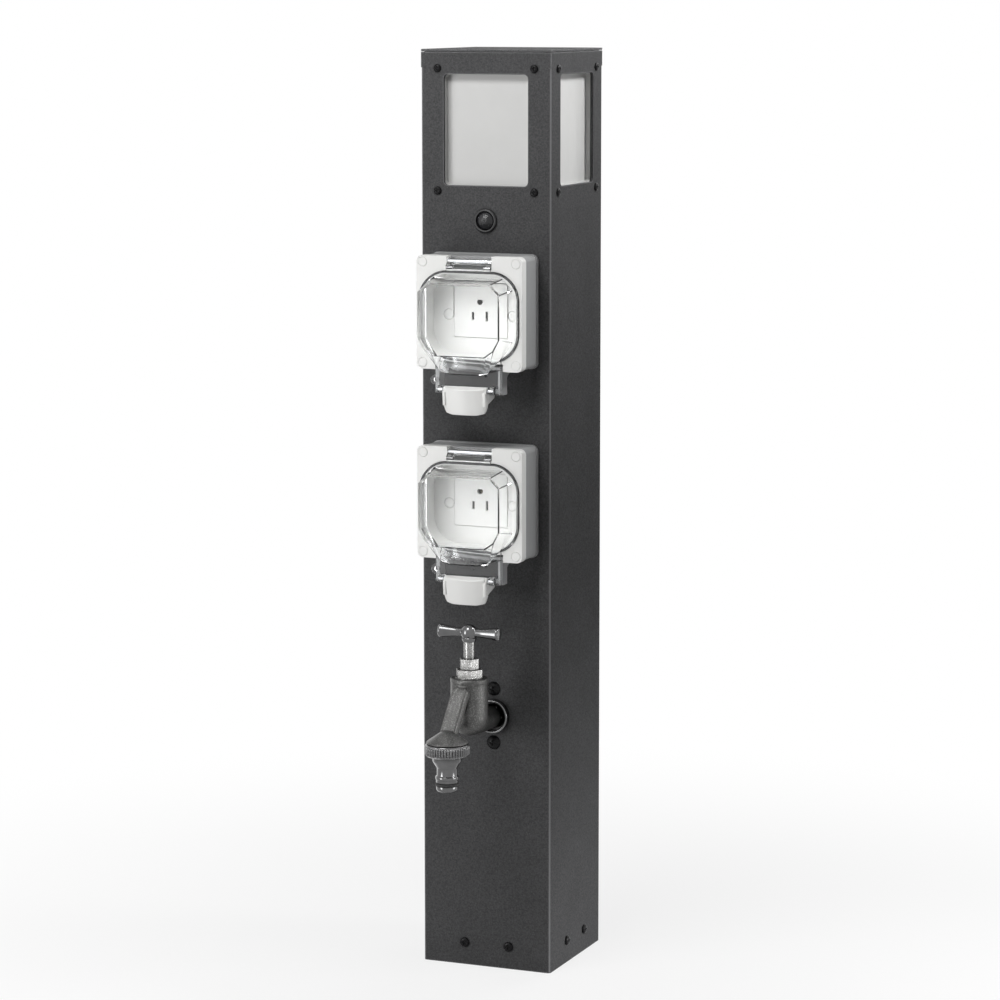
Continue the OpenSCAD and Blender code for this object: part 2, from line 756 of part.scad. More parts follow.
module front_frame(z0) {
  color("whitesmoke") on_front(z0) translate([0, 0, box_d]) difference() {
    linear_extrude(frame_d) difference() {
      round_rect(frame_w, frame_w, frame_r);
      translate([0, -open_drop]) round_rect(open_w, open_h, open_r);
      translate([-hinge_half, seal_top + 0.6]) square([2 * hinge_half, frame_w]);
      translate([-throat_half, -frame_w]) square([2 * throat_half, frame_w / 2 + throat_d]);
    }
    translate([0, -open_drop, frame_d - seal_groove]) linear_extrude(seal_groove + over) difference() {
      round_rect(seal_out_w, seal_out_h, open_r + 1 + seal_w);
      round_rect(seal_in_w, seal_in_h, open_r + 1);
    }
    at_corners(corner_half, corner_half) {
      translate([0, 0, -over]) cylinder(r = corner_shank_r + shank_play, h = frame_d);
      translate([0, 0, frame_d - screw_cap_d - corner_head_h - seat])
        cylinder(r = cap_r + shank_play, h = frame_d);
    }
    cross_rod(pin_r + press_gap, pin_up, pin_z - box_d, -hinge_half - pin_grip, hinge_half + pin_grip);
  }
}

// Length of the hinge pin in each side of the notch
pin_grip = 6;

module lid_seal(z0) {
  color("gray") on_front(z0) translate([0, -open_drop, frame_face - seal_groove])
    linear_extrude(seal_groove + seal_proud) difference() {
      round_rect(seal_out_w - 0.2, seal_out_h - 0.2, open_r + 0.9 + seal_w);
      round_rect(seal_in_w + 0.2, seal_in_h + 0.2, open_r + 1.1);
    }
}

// The white tub that carries the socket insert
module socket_carrier(z0) {
  rear = carrier_z - carrier_t;
  color("white") on_front(z0) difference() {
    translate([0, -open_drop, rear]) linear_extrude(box_d - seat - rear)
      round_rect(open_w + 2 * carrier_wall, open_h + 2 * carrier_wall, open_r + carrier_wall);
    translate([0, -open_drop, carrier_z]) linear_extrude(box_d)
      round_rect(open_w, open_h, open_r);
    translate([0, 0, rear - over]) linear_extrude(carrier_t + 2 * over)
      round_rect(insert_w + 2 * contact_play, insert_h + 2 * contact_play, insert_corner_r);
    for (x = [-carrier_screw_x, carrier_screw_x]) translate([x, -carrier_screw_drop, 0]) {
      translate([0, 0, rear - over]) cylinder(r = carrier_shank_r + shank_play, h = carrier_t + over);
      translate([0, 0, carrier_z - carrier_head_h])
        cylinder(r = carrier_head_r + shank_play, h = over + carrier_head_h);
    }
  }
}

insert_corner_r = 1.5;
// The insert's body narrows behind the shoulder that bears on the carrier from behind
insert_body_w = 44;
insert_body_h = 42;

module flat_slot(side, height, w = slot_w) {
  translate([side * slot_pitch / 2, -slot_drop]) square([w, height], center = true);
}

module earth_slot(r) {
  translate([0, earth_up]) difference() {
    circle(r);
    translate([-2 * r, r * 0.72]) square([4 * r, 2 * r]);
  }
}

// Width of the chambers that hold the flat contacts, and radius of the earth contact's chamber
chamber_w = slot_w + 2 * leaf_t + 4 * contact_play;
chamber_h = slot_long + 2;
earth_chamber_r = earth_r + leaf_t + 2 * contact_play;

module socket_insert(z0) {
  shoulder_top = carrier_z - carrier_t - seat;
  body_rear = -insert_back;
  depth = insert_face - body_rear;
  color("white") on_front(z0) difference() {
    union() {
      translate([0, 0, shoulder_top - over]) linear_extrude(insert_face - shoulder_top + over)
        round_rect(insert_w, insert_h, insert_corner_r);
      translate([0, 0, shoulder_top - shoulder_t]) linear_extrude(shoulder_t)
        round_rect(rear_open, insert_h + 5, insert_corner_r);
      translate([0, 0, body_rear]) linear_extrude(shoulder_top - body_rear)
        round_rect(insert_body_w, insert_body_h, insert_corner_r);
    }
    translate([0, 0, body_rear + insert_rear_wall]) {
      linear_extrude(depth) {
        flat_slot(-1, slot_short);
        flat_slot(1, slot_long);
        earth_slot(earth_r);
      }
      linear_extrude(chamber_top - body_rear - insert_rear_wall) {
        flat_slot(-1, chamber_h, chamber_w);
        flat_slot(1, chamber_h, chamber_w);
        translate([0, earth_up]) circle(earth_chamber_r);
      }
    }
  }
}

// Two spring clips for the flat blades and a split sleeve for the earth pin
module contacts(z0) {
  rear = -insert_back + insert_rear_wall + contact_play;
  front = chamber_top - contact_play;
  clip_w = slot_w + 2 * leaf_t;
  clip_h = chamber_h - 2 * contact_play;
  color("goldenrod") on_front(z0) {
    for (side = [-1, 1]) translate([side * slot_pitch / 2, -slot_drop, 0]) difference() {
      translate([-clip_w / 2, -clip_h / 2, rear]) cube([clip_w, clip_h, front - rear]);
      translate([-slot_w / 2, -clip_h, rear + leaf_t]) cube([slot_w, 2 * clip_h, front]);
    }
    translate([0, earth_up, rear]) difference() {
      cylinder(r = earth_r + leaf_t, h = front - rear);
      translate([0, 0, leaf_t]) cylinder(r = earth_r, h = front);
      translate([-leaf_t / 2, 0, leaf_t]) cube([leaf_t, 2 * earth_r, front]);
    }
  }
}

// The slope of the chin, from the lower edge of the face back to the rim
chin_run = hood_z - chin_z;
chin_fall = chin_drop - face_drop;
chin_len = norm([chin_run, chin_fall]);
// The chin's rim is this much higher at its ends than in the middle
rim_rise = 1.8;
// The inside of the chin runs on past its rim by this much, which opens the cable mouth
mouth_cut = 4;

// Outlines of the hood, pulled inwards by a wall: its face, the rim of its chin, and its foot
function face_points(wall) =
  let (w = hood_face_half - wall, top = hood_face_top - wall, c = hood_chamfer - wall * 0.4,
     low = face_low_half - wall * 0.8, drop = face_drop - wall * (chin_len - chin_fall) / chin_run,
     bend_x = (w + low) / 2 + 1.6, bend_y = -(hood_low + drop) / 2 - 1.6)
  [[-w + c, top], [w - c, top], [w, top - c], [w, -hood_low], [bend_x, bend_y], [low, -drop],
   [-low, -drop], [-bend_x, bend_y], [-w, -hood_low], [-w, top - c]];

function rim_points(wall, drop) =
  let (w = chin_half - wall * 0.8)
  [[-w, -foot_drop], [w, -foot_drop], [w, -drop + rim_rise], [w / 2, -drop], [-w / 2, -drop],
   [-w, -drop + rim_rise]];

function foot_points(wall) =
  let (w = hood_foot_half - wall, top = hood_foot_top - wall, c = hood_chamfer + 1 - wall * 0.4,
     low = w - c)
  [[-w + c, top], [w - c, top], [w, top - c], [w, -foot_drop + wall + c + 3], [low, -foot_drop + wall],
   [-low, -foot_drop + wall], [-w, -foot_drop + wall + c + 3], [-w, top - c]];

// The hood's foot, face and rim drawn together; cut runs its chin on past the rim
module hood_solid(wall, z0, cut = 0) {
  film = 0.01;
  rim_z = chin_z - (wall * chin_fall + cut * chin_run) / chin_len;
  rim_drop = chin_drop - (wall * chin_run - cut * chin_fall) / chin_len;
  hull() {
    translate([0, 0, z0]) linear_extrude(film) polygon(foot_points(wall));
    translate([0, 0, rim_z]) linear_extrude(film) polygon(rim_points(wall, rim_drop));
    translate([0, 0, hood_z - wall - film]) linear_extrude(film) polygon(face_points(wall));
  }
}

// The clear lid: hood, flange, hinge barrel, apron and the two lugs of the latch
module clear_lid(z0) {
  lug_in = latch_half + latch_gap;
  color("lightcyan", 0.5) on_front(z0) {
    difference() {
      union() {
        hood_solid(0, flange_z);
        translate([0, -open_drop, flange_z]) linear_extrude(flange_t)
          round_rect(seal_out_w - 1, seal_out_h - 1, open_r + seal_w + 0.5);
      }
      hood_solid(hood_wall, flange_z - over, mouth_cut);
    }
    difference() {
      union() {
        translate([-apron_half, -apron_drop, flange_z])
          cube([2 * apron_half, apron_drop - foot_drop - 1, flange_t]);
        translate([-apron_half, -ear_drop, flange_z]) cylinder(r = ear_r, h = flange_t);
        for (y = [-rib_drop, -rib_drop - rib_step])
          translate([rib_x, y, flange_face - seat]) cube([rib_len, rib_w, rib_up + seat]);
      }
      translate([-apron_half + 1, -ear_drop, flange_z - over])
        cylinder(r = ear_hole_r, h = flange_t + 2 * over);
      translate([eye_x, -rib_drop, flange_z - over]) cylinder(r = eye_r, h = flange_t + 2 * over);
    }
    for (x0 = [-lug_in - lug_w, lug_in]) difference() {
      union() {
        side_plate(x0, lug_w, [
          [-latch_drop + lug_r, flange_face - 0.3], [-latch_drop + lug_r, latch_z],
          [-latch_drop - lug_r, latch_z], [-latch_drop - lug_r, flange_face - 0.3]
        ]);
        cross_rod(lug_r, -latch_drop, latch_z, x0, x0 + lug_w);
      }
      cross_rod(latch_pin_r + press_gap, -latch_drop, latch_z, x0 - over, x0 + lug_w + over);
    }
    difference() {
      union() {
        cross_rod(barrel_r, pin_up, pin_z, -hinge_half + seat, hinge_half - seat);
        for (x0 = [-hinge_half + seat, hinge_half - seat - arm_w]) side_plate(x0, arm_w, [
          [seal_top - 3, flange_z], [seal_top - 3, flange_face],
          [pin_up - 3.5, flange_face], [pin_up, pin_z + barrel_r], [pin_up, pin_z],
          [pin_up - barrel_r, pin_z + 0.6], [seal_top + 1.5, flange_z]
        ]);
        side_plate(-hinge_half + seat, 2 * hinge_half - 2 * seat, [
          [seal_top - 3, flange_z], [seal_top - 3, flange_face],
          [pin_up - 4.5, flange_face - 0.6], [pin_up - 1, pin_z + barrel_r - 0.2],
          [pin_up - 2.2, pin_z + 1.6], [seal_top + 1.5, flange_z]
        ]);
      }
      cross_rod(pin_r + hinge_play, pin_up, pin_z, -hinge_half - over, hinge_half + over);
    }
  }
}

// Width of the hinge arms at both ends of the barrel, and the ear beside the apron
arm_w = 6;
ear_r = 4.5;
ear_hole_r = 2.3;
ear_drop = apron_drop - 11;
lug_r = 3.3;
// Two ribs across the apron, and the small hole to the right of them
rib_x = -13;
rib_drop = apron_drop - 16;
rib_step = 5;
rib_len = 18;
rib_w = 1.6;
rib_up = 0.8;
eye_x = 16;
eye_r = 1.6;

module lid_hinge_pins() {
  grip = hinge_half + pin_grip - 0.3;
  color("silver") for (z = [upper_z, lower_z]) on_front(z)
    cross_rod(pin_r, pin_up, pin_z, -grip, grip);
}

// The white latch: a leaning face, a barrel on its pin and two cheeks that reach under the catch
module latch(z0) {
  top = -latch_drop + 1;
  waist = -latch_drop - 7.5;
  face_top = latch_face + latch_lean;
  side = [
    [latch_top_half, top], [latch_half - 0.8, top - 3.5], [latch_half, waist],
    [latch_half - 0.8, waist - 6], [latch_low_half, -latch_low + 1.6],
    [latch_low_half * 0.5, -latch_low + 0.4], [0, -latch_low]
  ];
  color("white") on_front(z0) difference() {
    union() {
      cross_rod(latch_barrel_r, -latch_drop, latch_z, -latch_half, latch_half);
      intersection() {
        linear_extrude(face_top + over) {
          polygon([for (p = concat(side, [[0, top]])) p]);
          polygon([for (p = concat(side, [[0, top]])) [-p[0], p[1]]]);
        }
        side_plate(-latch_half, 2 * latch_half, [
          [-latch_drop + latch_barrel_r, latch_z],
          [-latch_drop + latch_barrel_r - 0.5, latch_z + 2],
          [top - 0.8, face_top - 1], [top - 2, face_top], [-latch_low, latch_face],
          [-latch_low, latch_face - latch_t], [top - 6, face_top - latch_t - 0.6],
          [-latch_drop - latch_barrel_r, latch_z + 1]
        ]);
        translate([0, -latch_low, latch_face - latch_face_r])
          rotate([-90 + atan2(latch_lean, latch_low + top), 0, 0])
            translate([0, 0, -over]) cylinder(r = latch_face_r, h = latch_len + 4 * over);
      }
      for (x0 = [-latch_half + latch_in, latch_half - latch_in - cheek_t]) side_plate(x0, cheek_t, [
        [-apron_drop - seat, leg_rear + 0.6], [-apron_drop - seat, latch_z - latch_barrel_r],
        [-latch_drop, latch_z], [top - 2.5, face_top - latch_t], [waist - 6, latch_face - 0.6],
        [-latch_drop - 7, leg_rear + 2.6]
      ]);
    }
    cross_rod(latch_pin_r + hinge_play, -latch_drop, latch_z, -latch_half - over, latch_half + over);
  }
}

// Step of the latch's body inside its ends, and its gap to the lugs on both sides
latch_in = 0.6;
latch_gap = 0.6;

module latch_pin(z0) {
  reach = latch_half + latch_gap + lug_w;
  color("silver") on_front(z0) cross_rod(latch_pin_r, -latch_drop, latch_z, -reach, reach);
}

module box_screws() {
  color("silver") for (z = [upper_z, lower_z]) on_front(z) at_corners(box_screw_half, box_screw_half)
    translate([0, 0, box_wall]) pan_screw(box_head_r, box_head_h, box_shank_r, box_wall + sheet_t + 5);
}

module frame_screws() {
  head_z = frame_face - screw_cap_d - corner_head_h - seat;
  color("silver") for (z = [upper_z, lower_z]) on_front(z) at_corners(corner_half, corner_half)
    translate([0, 0, head_z])
      pan_screw(corner_head_r, corner_head_h, corner_shank_r, head_z - corner_screw_end);
}

module screw_caps() {
  color("white") for (z = [upper_z, lower_z]) on_front(z) at_corners(corner_half, corner_half)
    translate([0, 0, frame_face - screw_cap_d]) rotate_extrude() polygon([
      [0, 0], [cap_r, 0], [cap_r, screw_cap_d], [cap_r - 0.3, screw_cap_d + 0.2],
      [0, screw_cap_d + 0.2]
    ]);
}

module carrier_screws() {
  length = carrier_z - carrier_head_h - box_wall - 1;
  color("white") for (z = [upper_z, lower_z]) on_front(z) for (x = [-carrier_screw_x, carrier_screw_x])
    translate([x, -carrier_screw_drop, carrier_z - carrier_head_h])
      pan_screw(carrier_head_r, carrier_head_h, carrier_shank_r, length);
}

// The tap's own levels, above its inlet
bowl_up = 9;
seat_up = 14.5;
washer_h = 3;
disc_h = 2.7;
spindle_foot = seat_up + seat + washer_h + disc_h + seat;
// Room that stays free between the open valve and the bonnet
head_room = 9;
bonnet_foot = seat_up + seat + washer_h + disc_h + valve_lift + head_room;
bonnet_top = tap_rim + 7.4;
gland_top = bonnet_top + 9.2;
nose_top = -3;
nose_foot = -8.2;
barrel_y = -half_w - tap_reach;
nose_y = -half_w - nose_reach;
// Hexagon and shank between the wall flange and the barrel
inlet_hex_r = 10.6;
inlet_hex_h = 3.6;
shank_wide_r = 9.3;
shank_slim_r = 8.4;
shank_step = 24;
// Collar above the thread of the outlet
collar_r = 17.6;
collar_lip = 1.2;
collar_h = 6.5;
collar_neck_r = 8.4;
// Water ways: inlet, pocket under the valve seat, port in the seat, spout and outlet
inlet_bore_r = 6.5;
pocket_r = 7.6;
port_r = 5.5;
spout_bore_r = 3.8;
spout_bore_in = 3;
passage_up = 27;
nose_bore_r = 7;
nose_bore_top = 1;

// A round bar that runs outwards from the post at the tap's inlet
module inlet_bar(r, out0, out1, r2 = 0) {
  translate([tap_x, -half_w - out0, tap_z]) rotate([90, 0, 0])
    cylinder(r1 = r, r2 = r2 == 0 ? r : r2, h = out1 - out0);
}

// Ends of the spout's axis as [distance from the post, height above the inlet]
spout_high = [tap_reach + 12.5, 41];
spout_low = [nose_reach - 2.3, 1.4];
spout_run = spout_low[0] - spout_high[0];
spout_fall = spout_low[1] - spout_high[1];
spout_len = norm(spout_low - spout_high);
// The spout's front is cut flat, with a ridge along each side of the flat
flat_up = 2;
ridge_r = 1.4;

// Runs its children along the tap's slanted spout: x is sideways and y is down and back
module along_spout(from, to) {
  translate([tap_x, -half_w - spout_high[0], tap_z + spout_high[1]])
    rotate([atan2(spout_run, spout_fall), 0, 0])
      translate([0, 0, from]) linear_extrude(to - from) children();
}

module tap_body() {
  color("lightgray") difference() {
    union() {
      translate([tap_x, barrel_y, tap_z + bowl_up]) {
        cylinder(r = tap_r, h = tap_rim - bowl_up);
        sphere(tap_r);
      }
      inlet_bar(inlet_r, -inlet_len, 1);
      translate([tap_x, -half_w - 1, tap_z]) rotate([90, 0, 0])
        cylinder(r = inlet_hex_r, h = inlet_hex_h + 1, $fn = 6);
      inlet_bar(shank_wide_r, inlet_hex_h, shank_step);
      inlet_bar(shank_wide_r, shank_step, tap_reach - 6, shank_slim_r);
      along_spout(0, spout_len) {
        intersection() {
          circle(spout_r);
          translate([-spout_r, -spout_r]) square([2 * spout_r, spout_r + flat_up]);
        }
        for (side = [-1, 1]) translate([side * (spout_r - ridge_r), flat_up - ridge_r / 2])
          circle(ridge_r);
      }
      translate([tap_x, nose_y, tap_z + nose_top]) rotate_extrude() polygon([
        [0, -collar_lip], [collar_r, -collar_lip], [collar_r, 0], [collar_neck_r, collar_h],
        [collar_neck_r * 0.72, collar_h + 1.5], [collar_neck_r * 0.42, collar_h + 2.3],
        [0, collar_h + 2.5]
      ]);
      translate([tap_x, nose_y, tap_z + nose_foot]) cylinder(r = nose_r, h = nose_top - nose_foot);
    }
    inlet_bar(inlet_bore_r, -inlet_len - over, tap_reach);
    translate([tap_x, barrel_y, tap_z]) {
      translate([0, 0, -4]) cylinder(r = pocket_r, h = seat_up - 3 + 4);
      cylinder(r = port_r, h = seat_up + over);
      translate([0, 0, seat_up]) cylinder(r = tap_bore_r, h = tap_rim);
    }
    translate([0, 0, passage_up]) inlet_bar(spout_bore_r, tap_reach, passage_out);
    along_spout((spout_high[1] - passage_up) / -spout_fall * spout_len - spout_bore_r, spout_len)
      translate([0, -spout_bore_in]) circle(spout_bore_r);
    translate([tap_x, nose_y, tap_z + nose_foot - over])
      cylinder(r = nose_bore_r, h = nose_bore_top - nose_foot + over);
  }
}

// Where the level passage from the barrel meets the spout's bore
passage_out = spout_high[0] + (spout_high[1] - passage_up) / -spout_fall * spout_run - spout_bore_in;

// Bore of the barrel, which takes the bonnet's thread
tap_bore_r = 12.2;

module tap_bonnet() {
  color("lightgray") translate([tap_x, barrel_y, tap_z]) difference() {
    union() {
      translate([0, 0, bonnet_foot]) cylinder(r = tap_bore_r - 0.1, h = tap_rim - bonnet_foot + over);
      translate([0, 0, tap_rim]) cylinder(r = bonnet_hex_r, h = bonnet_top - tap_rim, $fn = 6);
    }
    translate([0, 0, bonnet_foot - over])
      cylinder(r = spindle_r + hinge_play, h = bonnet_top - bonnet_foot + 2 * over);
    translate([0, 0, bonnet_top - gland_stub - seat])
      cylinder(r = gland_stub_r + hinge_play, h = gland_stub + seat + over);
  }
}

bonnet_hex_r = 12;
// Length and radius of the gland nut's thread inside the bonnet, and its hexagon
gland_stub = 5;
gland_stub_r = 6.9;
gland_hex_r = 8.75;

module tap_gland_nut() {
  color("lightgray") translate([tap_x, barrel_y, tap_z]) difference() {
    union() {
      translate([0, 0, bonnet_top - gland_stub]) cylinder(r = gland_stub_r, h = gland_stub + over);
      translate([0, 0, bonnet_top]) cylinder(r = gland_hex_r, h = gland_top - bonnet_top, $fn = 6);
    }
    translate([0, 0, bonnet_top - gland_stub - over])
      cylinder(r = spindle_r + hinge_play, h = gland_top - bonnet_top + gland_stub + 2 * over);
  }
}

module tap_spindle() {
  color("lightgray") translate([tap_x, barrel_y, tap_z]) difference() {
    translate([0, 0, spindle_foot]) cylinder(r = spindle_r, h = ball_up - spindle_in - spindle_foot);
    translate([0, 0, spindle_foot - over]) cylinder(r = stem_r + hinge_play, h = stem_len + over);
  }
}

// Stem of the jumper, which turns freely in the foot of the spindle
stem_r = 2.4;
stem_len = 9;
// The spindle ends this far below the middle of the handle's ball
spindle_in = 4;

module tap_handle() {
  end = bar_len / 2;
  hub_foot = -ball_r - 0.6;
  color("silver") translate([tap_x, barrel_y, tap_z + ball_up]) difference() {
    union() {
      sphere(ball_r);
      rotate([0, 90, 0]) rotate_extrude() polygon([
        [0, -end], [bar_end_r - 0.6, -end], [bar_end_r, -end + 0.8], [bar_end_r, -end + 2.2],
        [bar_waist_r, -ball_r + 0.8], [bar_waist_r, ball_r - 0.8], [bar_end_r, end - 2.2],
        [bar_end_r, end - 0.8], [bar_end_r - 0.6, end], [0, end]
      ]);
      translate([0, 0, hub_foot]) cylinder(r1 = spindle_r + 0.8, r2 = spindle_r + 1.8, h = 3);
    }
    translate([0, 0, hub_foot - over])
      cylinder(r = spindle_r + press_gap, h = seat - spindle_in - hub_foot + over);
  }
}

// Radii of the handle's bar at its ends and beside the ball
bar_end_r = 5.8;
bar_waist_r = 3.7;

module valve_washer() {
  color("black") translate([tap_x, barrel_y, tap_z + seat_up + seat]) difference() {
    cylinder(r = washer_r, h = washer_h);
    translate([0, 0, -over]) cylinder(r = washer_hole_r, h = washer_h + 2 * over);
  }
}

washer_r = 8.4;
washer_hole_r = 1.2;

module tap_jumper() {
  color("goldenrod") translate([tap_x, barrel_y, tap_z + seat_up + seat + washer_h]) {
    cylinder(r = washer_r, h = disc_h);
    cylinder(r = stem_r, h = disc_h + stem_len - seat);
  }
}

module tap_flange() {
  color("silver") on_front(tap_z, tap_x) rotate_extrude() polygon([
    [inlet_r + fit_gap, 0], [tap_flange_r, 0], [tap_flange_r, tap_flange_h - 0.8],
    [tap_flange_r - 0.8, tap_flange_h], [flange_rim_r + 0.6, tap_flange_h],
    [flange_rim_r, tap_flange_h - 0.6], [flange_rim_r, flange_web], [inlet_r + fit_gap, flange_web]
  ]);
}

// The flange is a cup: its rim stands around a thin web on the sheet
flange_rim_r = 12.6;
flange_web = 0.8;

// The hose adapter: a ribbed ring on the tap's thread and a stepped plug for a hose coupling
ring_top = nose_top - 1.5;
ring_foot = ring_top - 10.3;
rib_count = 40;
rib_h = 0.95;
ring_r = 18.4;
plug_bore = 5.5;
plug_r = 9.2;
plug_len = 30.3;
plug_tip = 1.3;
// Bead above the O-ring, waist of the adapter and its stepped shoulder under the ring
bead_step = 0.2;
bead_r = 9.9;
bead_h = 2;
waist_r = 8.7;
waist_top = 10.5;
cone_r = 11.8;
cone_h = 5.1;
shoulder_r = 12.3;
shoulder_step = 0.9;
// Half the width of the O-ring's groove, and the radius of the O-ring's cord
o_groove = 1.5;
groove_d = 1.4;
o_cord_r = 1.2;

// Outline of the ribbed ring: each rib rises and falls over four points
function ribbed_outline() = [
  for (k = [0 : 4 * rib_count - 1])
    let (r = ring_r + rib_h * [0, 0.8, 1, 0.8][k % 4], a = k * 90 / rib_count)
    [r * cos(a), r * sin(a)]
];

module hose_adapter() {
  color("lightgray") translate([tap_x, nose_y, tap_z]) {
    rotate_extrude() polygon([
      [plug_bore, plug_foot], [plug_r - 1, plug_foot], [plug_r, plug_foot + plug_tip],
      [plug_r, o_ring_z - o_groove], [plug_r - groove_d, o_ring_z - o_groove],
      [plug_r - groove_d, o_ring_z + o_groove], [plug_r + bead_step, o_ring_z + o_groove],
      [plug_r + bead_step, bead_z - 0.6], [bead_r, bead_z], [bead_r, bead_z + bead_h],
      [waist_r, bead_z + bead_h + 1], [waist_r, ring_foot - waist_top],
      [cone_r, ring_foot - waist_top + cone_h], [shoulder_r, ring_foot - waist_top + cone_h + 1],
      [shoulder_r, ring_foot - 1], [shoulder_r + shoulder_step, ring_foot],
      [ring_r - 1, ring_foot], [ring_r - 0.2, ring_foot + 0.8], [ring_r - 0.2, ring_top - 0.8],
      [ring_r - 1, ring_top], [nose_r + press_gap, ring_top], [nose_r + press_gap, nose_foot - seat],
      [plug_bore, nose_foot - seat]
    ]);
    translate([0, 0, ring_foot + 1.2]) linear_extrude(ring_top - ring_foot - 2.8) difference() {
      polygon(ribbed_outline());
      circle(ring_r - 1.5);
    }
  }
}

// Foot of the plug, and the heights of its O-ring and of the bead above it
plug_foot = ring_foot - plug_len;
o_ring_z = plug_foot + 5.9;
bead_z = o_ring_z + 4.6;

module hose_o_ring() {
  color("black") translate([tap_x, nose_y, tap_z + o_ring_z]) rotate_extrude()
    translate([plug_r - groove_d + o_cord_r + 0.1, 0]) circle(o_cord_r, $fn = 32);
}

module tap_screws() {
  color("black") for (y = [-tap_screw_up, tap_screw_up]) on_front(tap_z + y, tap_x) difference() {
    union() {
      dome_r = (tap_head_r * tap_head_r + tap_head_h * tap_head_h) / (2 * tap_head_h);
      intersection() {
        translate([0, 0, tap_head_h - dome_r]) sphere(dome_r);
        cylinder(r = tap_head_r, h = tap_head_h);
      }
      translate([0, 0, -sheet_t - elbow_plate_t - 3])
        cylinder(r = tap_shank_r, h = sheet_t + elbow_plate_t + 4);
    }
    translate([0, 0, tap_head_h]) cross_recess(tap_cross_w, tap_cross_t, tap_cross_depth);
  }
}

// Cross recess of the domed screws
tap_cross_w = 5.2;
tap_cross_t = 1.1;
tap_cross_depth = 1.9;

// Plate and sockets of the elbow behind the tap
elbow_plate_t = 4;
elbow_r = 14;
elbow_leg_r = 11.5;
elbow_leg = 36;
elbow_ear = 16;
pipe_socket = 16;
// Depth of the riser pipe in the inlet coupling
coupling_socket = 8;

module wall_elbow() {
  color("goldenrod") on_front(tap_z, tap_x) difference() {
    union() {
      translate([0, 0, -sheet_t - elbow_plate_t]) linear_extrude(elbow_plate_t)
        round_rect(2 * elbow_r, 2 * tap_screw_up + elbow_ear, elbow_ear / 2 - 1);
      translate([0, 0, -riser_back]) cylinder(r = elbow_r, h = riser_back - sheet_t - 1);
      translate([0, 0, -riser_back]) sphere(elbow_r);
      translate([0, -elbow_leg, -riser_back]) rotate([-90, 0, 0])
        cylinder(r = elbow_leg_r, h = elbow_leg);
    }
    translate([0, 0, -inlet_len - seat]) cylinder(r = inlet_r + shank_play, h = inlet_len + over);
    translate([0, 0, -riser_back]) cylinder(r = riser_r - riser_wall, h = riser_back);
    translate([0, -elbow_leg - over, -riser_back]) rotate([-90, 0, 0]) {
      cylinder(r = riser_r + hinge_play, h = pipe_socket + over);
      cylinder(r = riser_r - riser_wall, h = elbow_leg + over);
    }
    for (y = [-tap_screw_up, tap_screw_up]) translate([0, y, -sheet_t - elbow_plate_t - over])
      cylinder(r = tap_shank_r + shank_play, h = elbow_plate_t + 2 * over);
  }
}

riser_y = -half_w + riser_back;
riser_top = tap_z - elbow_leg + pipe_socket - seat;
riser_foot = coupling_z + coupling_h - coupling_socket;

module riser_pipe() {
  color("white") translate([tap_x, riser_y, riser_foot + seat]) difference() {
    cylinder(r = riser_r, h = riser_top - riser_foot - seat);
    translate([0, 0, -over]) cylinder(r = riser_r - riser_wall, h = riser_top);
  }
}

module inlet_coupling() {
  color("goldenrod") translate([tap_x, riser_y, coupling_z]) difference() {
    cylinder(r = coupling_r, h = coupling_h, $fn = 6);
    translate([0, 0, -over]) cylinder(r = thread_r, h = coupling_h - coupling_socket - 2 + over);
    cylinder(r = riser_r - riser_wall, h = coupling_h);
    translate([0, 0, coupling_h - coupling_socket])
      cylinder(r = riser_r + hinge_play, h = coupling_socket + over);
  }
}

gland_r = 7;
gland_h = 8;
inlet_gland_bore_r = 5;
term_corner_r = 4;
cover_t = 2.5;

// The junction box on the inside of the back sheet, with glands for three leads and one inlet
module terminal_box() {
  color("lightgray") difference() {
    union() {
      translate([0, inner_half, term_top - term_h / 2]) rotate([90, 0, 0]) difference() {
        linear_extrude(term_d) round_rect(term_w, term_h, term_corner_r);
        translate([0, 0, term_wall]) linear_extrude(term_d)
          round_rect(term_w - 2 * term_wall, term_h - 2 * term_wall, term_corner_r / 2);
      }
      for (x = [-lead_x, 0, lead_x]) translate([x, lead_y, term_top - over])
        cylinder(r = gland_r, h = gland_h + over);
      translate([0, supply_y, term_top - term_h - gland_h]) cylinder(r = gland_r, h = gland_h + over);
    }
    for (x = [-lead_x, 0, lead_x]) translate([x, lead_y, term_top - term_wall - over])
      cylinder(r = lead_r + shank_play, h = gland_h + term_wall + 2 * over);
    translate([0, supply_y, term_top - term_h - gland_h - over])
      cylinder(r = inlet_gland_bore_r, h = gland_h + term_wall + 2 * over);
  }
}

module terminal_box_cover() {
  spigot_w = term_w - 2 * term_wall - 2 * fit_gap;
  spigot_h = term_h - 2 * term_wall - 2 * fit_gap;
  spigot_r = term_corner_r / 2 - fit_gap;
  color("gainsboro") translate([0, inner_half - term_d, term_top - term_h / 2]) rotate([90, 0, 0]) {
    linear_extrude(cover_t) round_rect(term_w, term_h, term_corner_r);
    translate([0, 0, -spigot_d]) linear_extrude(spigot_d) difference() {
      round_rect(spigot_w, spigot_h, spigot_r);
      round_rect(spigot_w - 2 * spigot_t, spigot_h - 2 * spigot_t, spigot_r / 2);
    }
  }
}

// Depth and wall of the rim on the back of the terminal box's cover
spigot_d = 2;
spigot_t = 1.7;
// The leads start this far inside the terminal box
lead_in = 4;

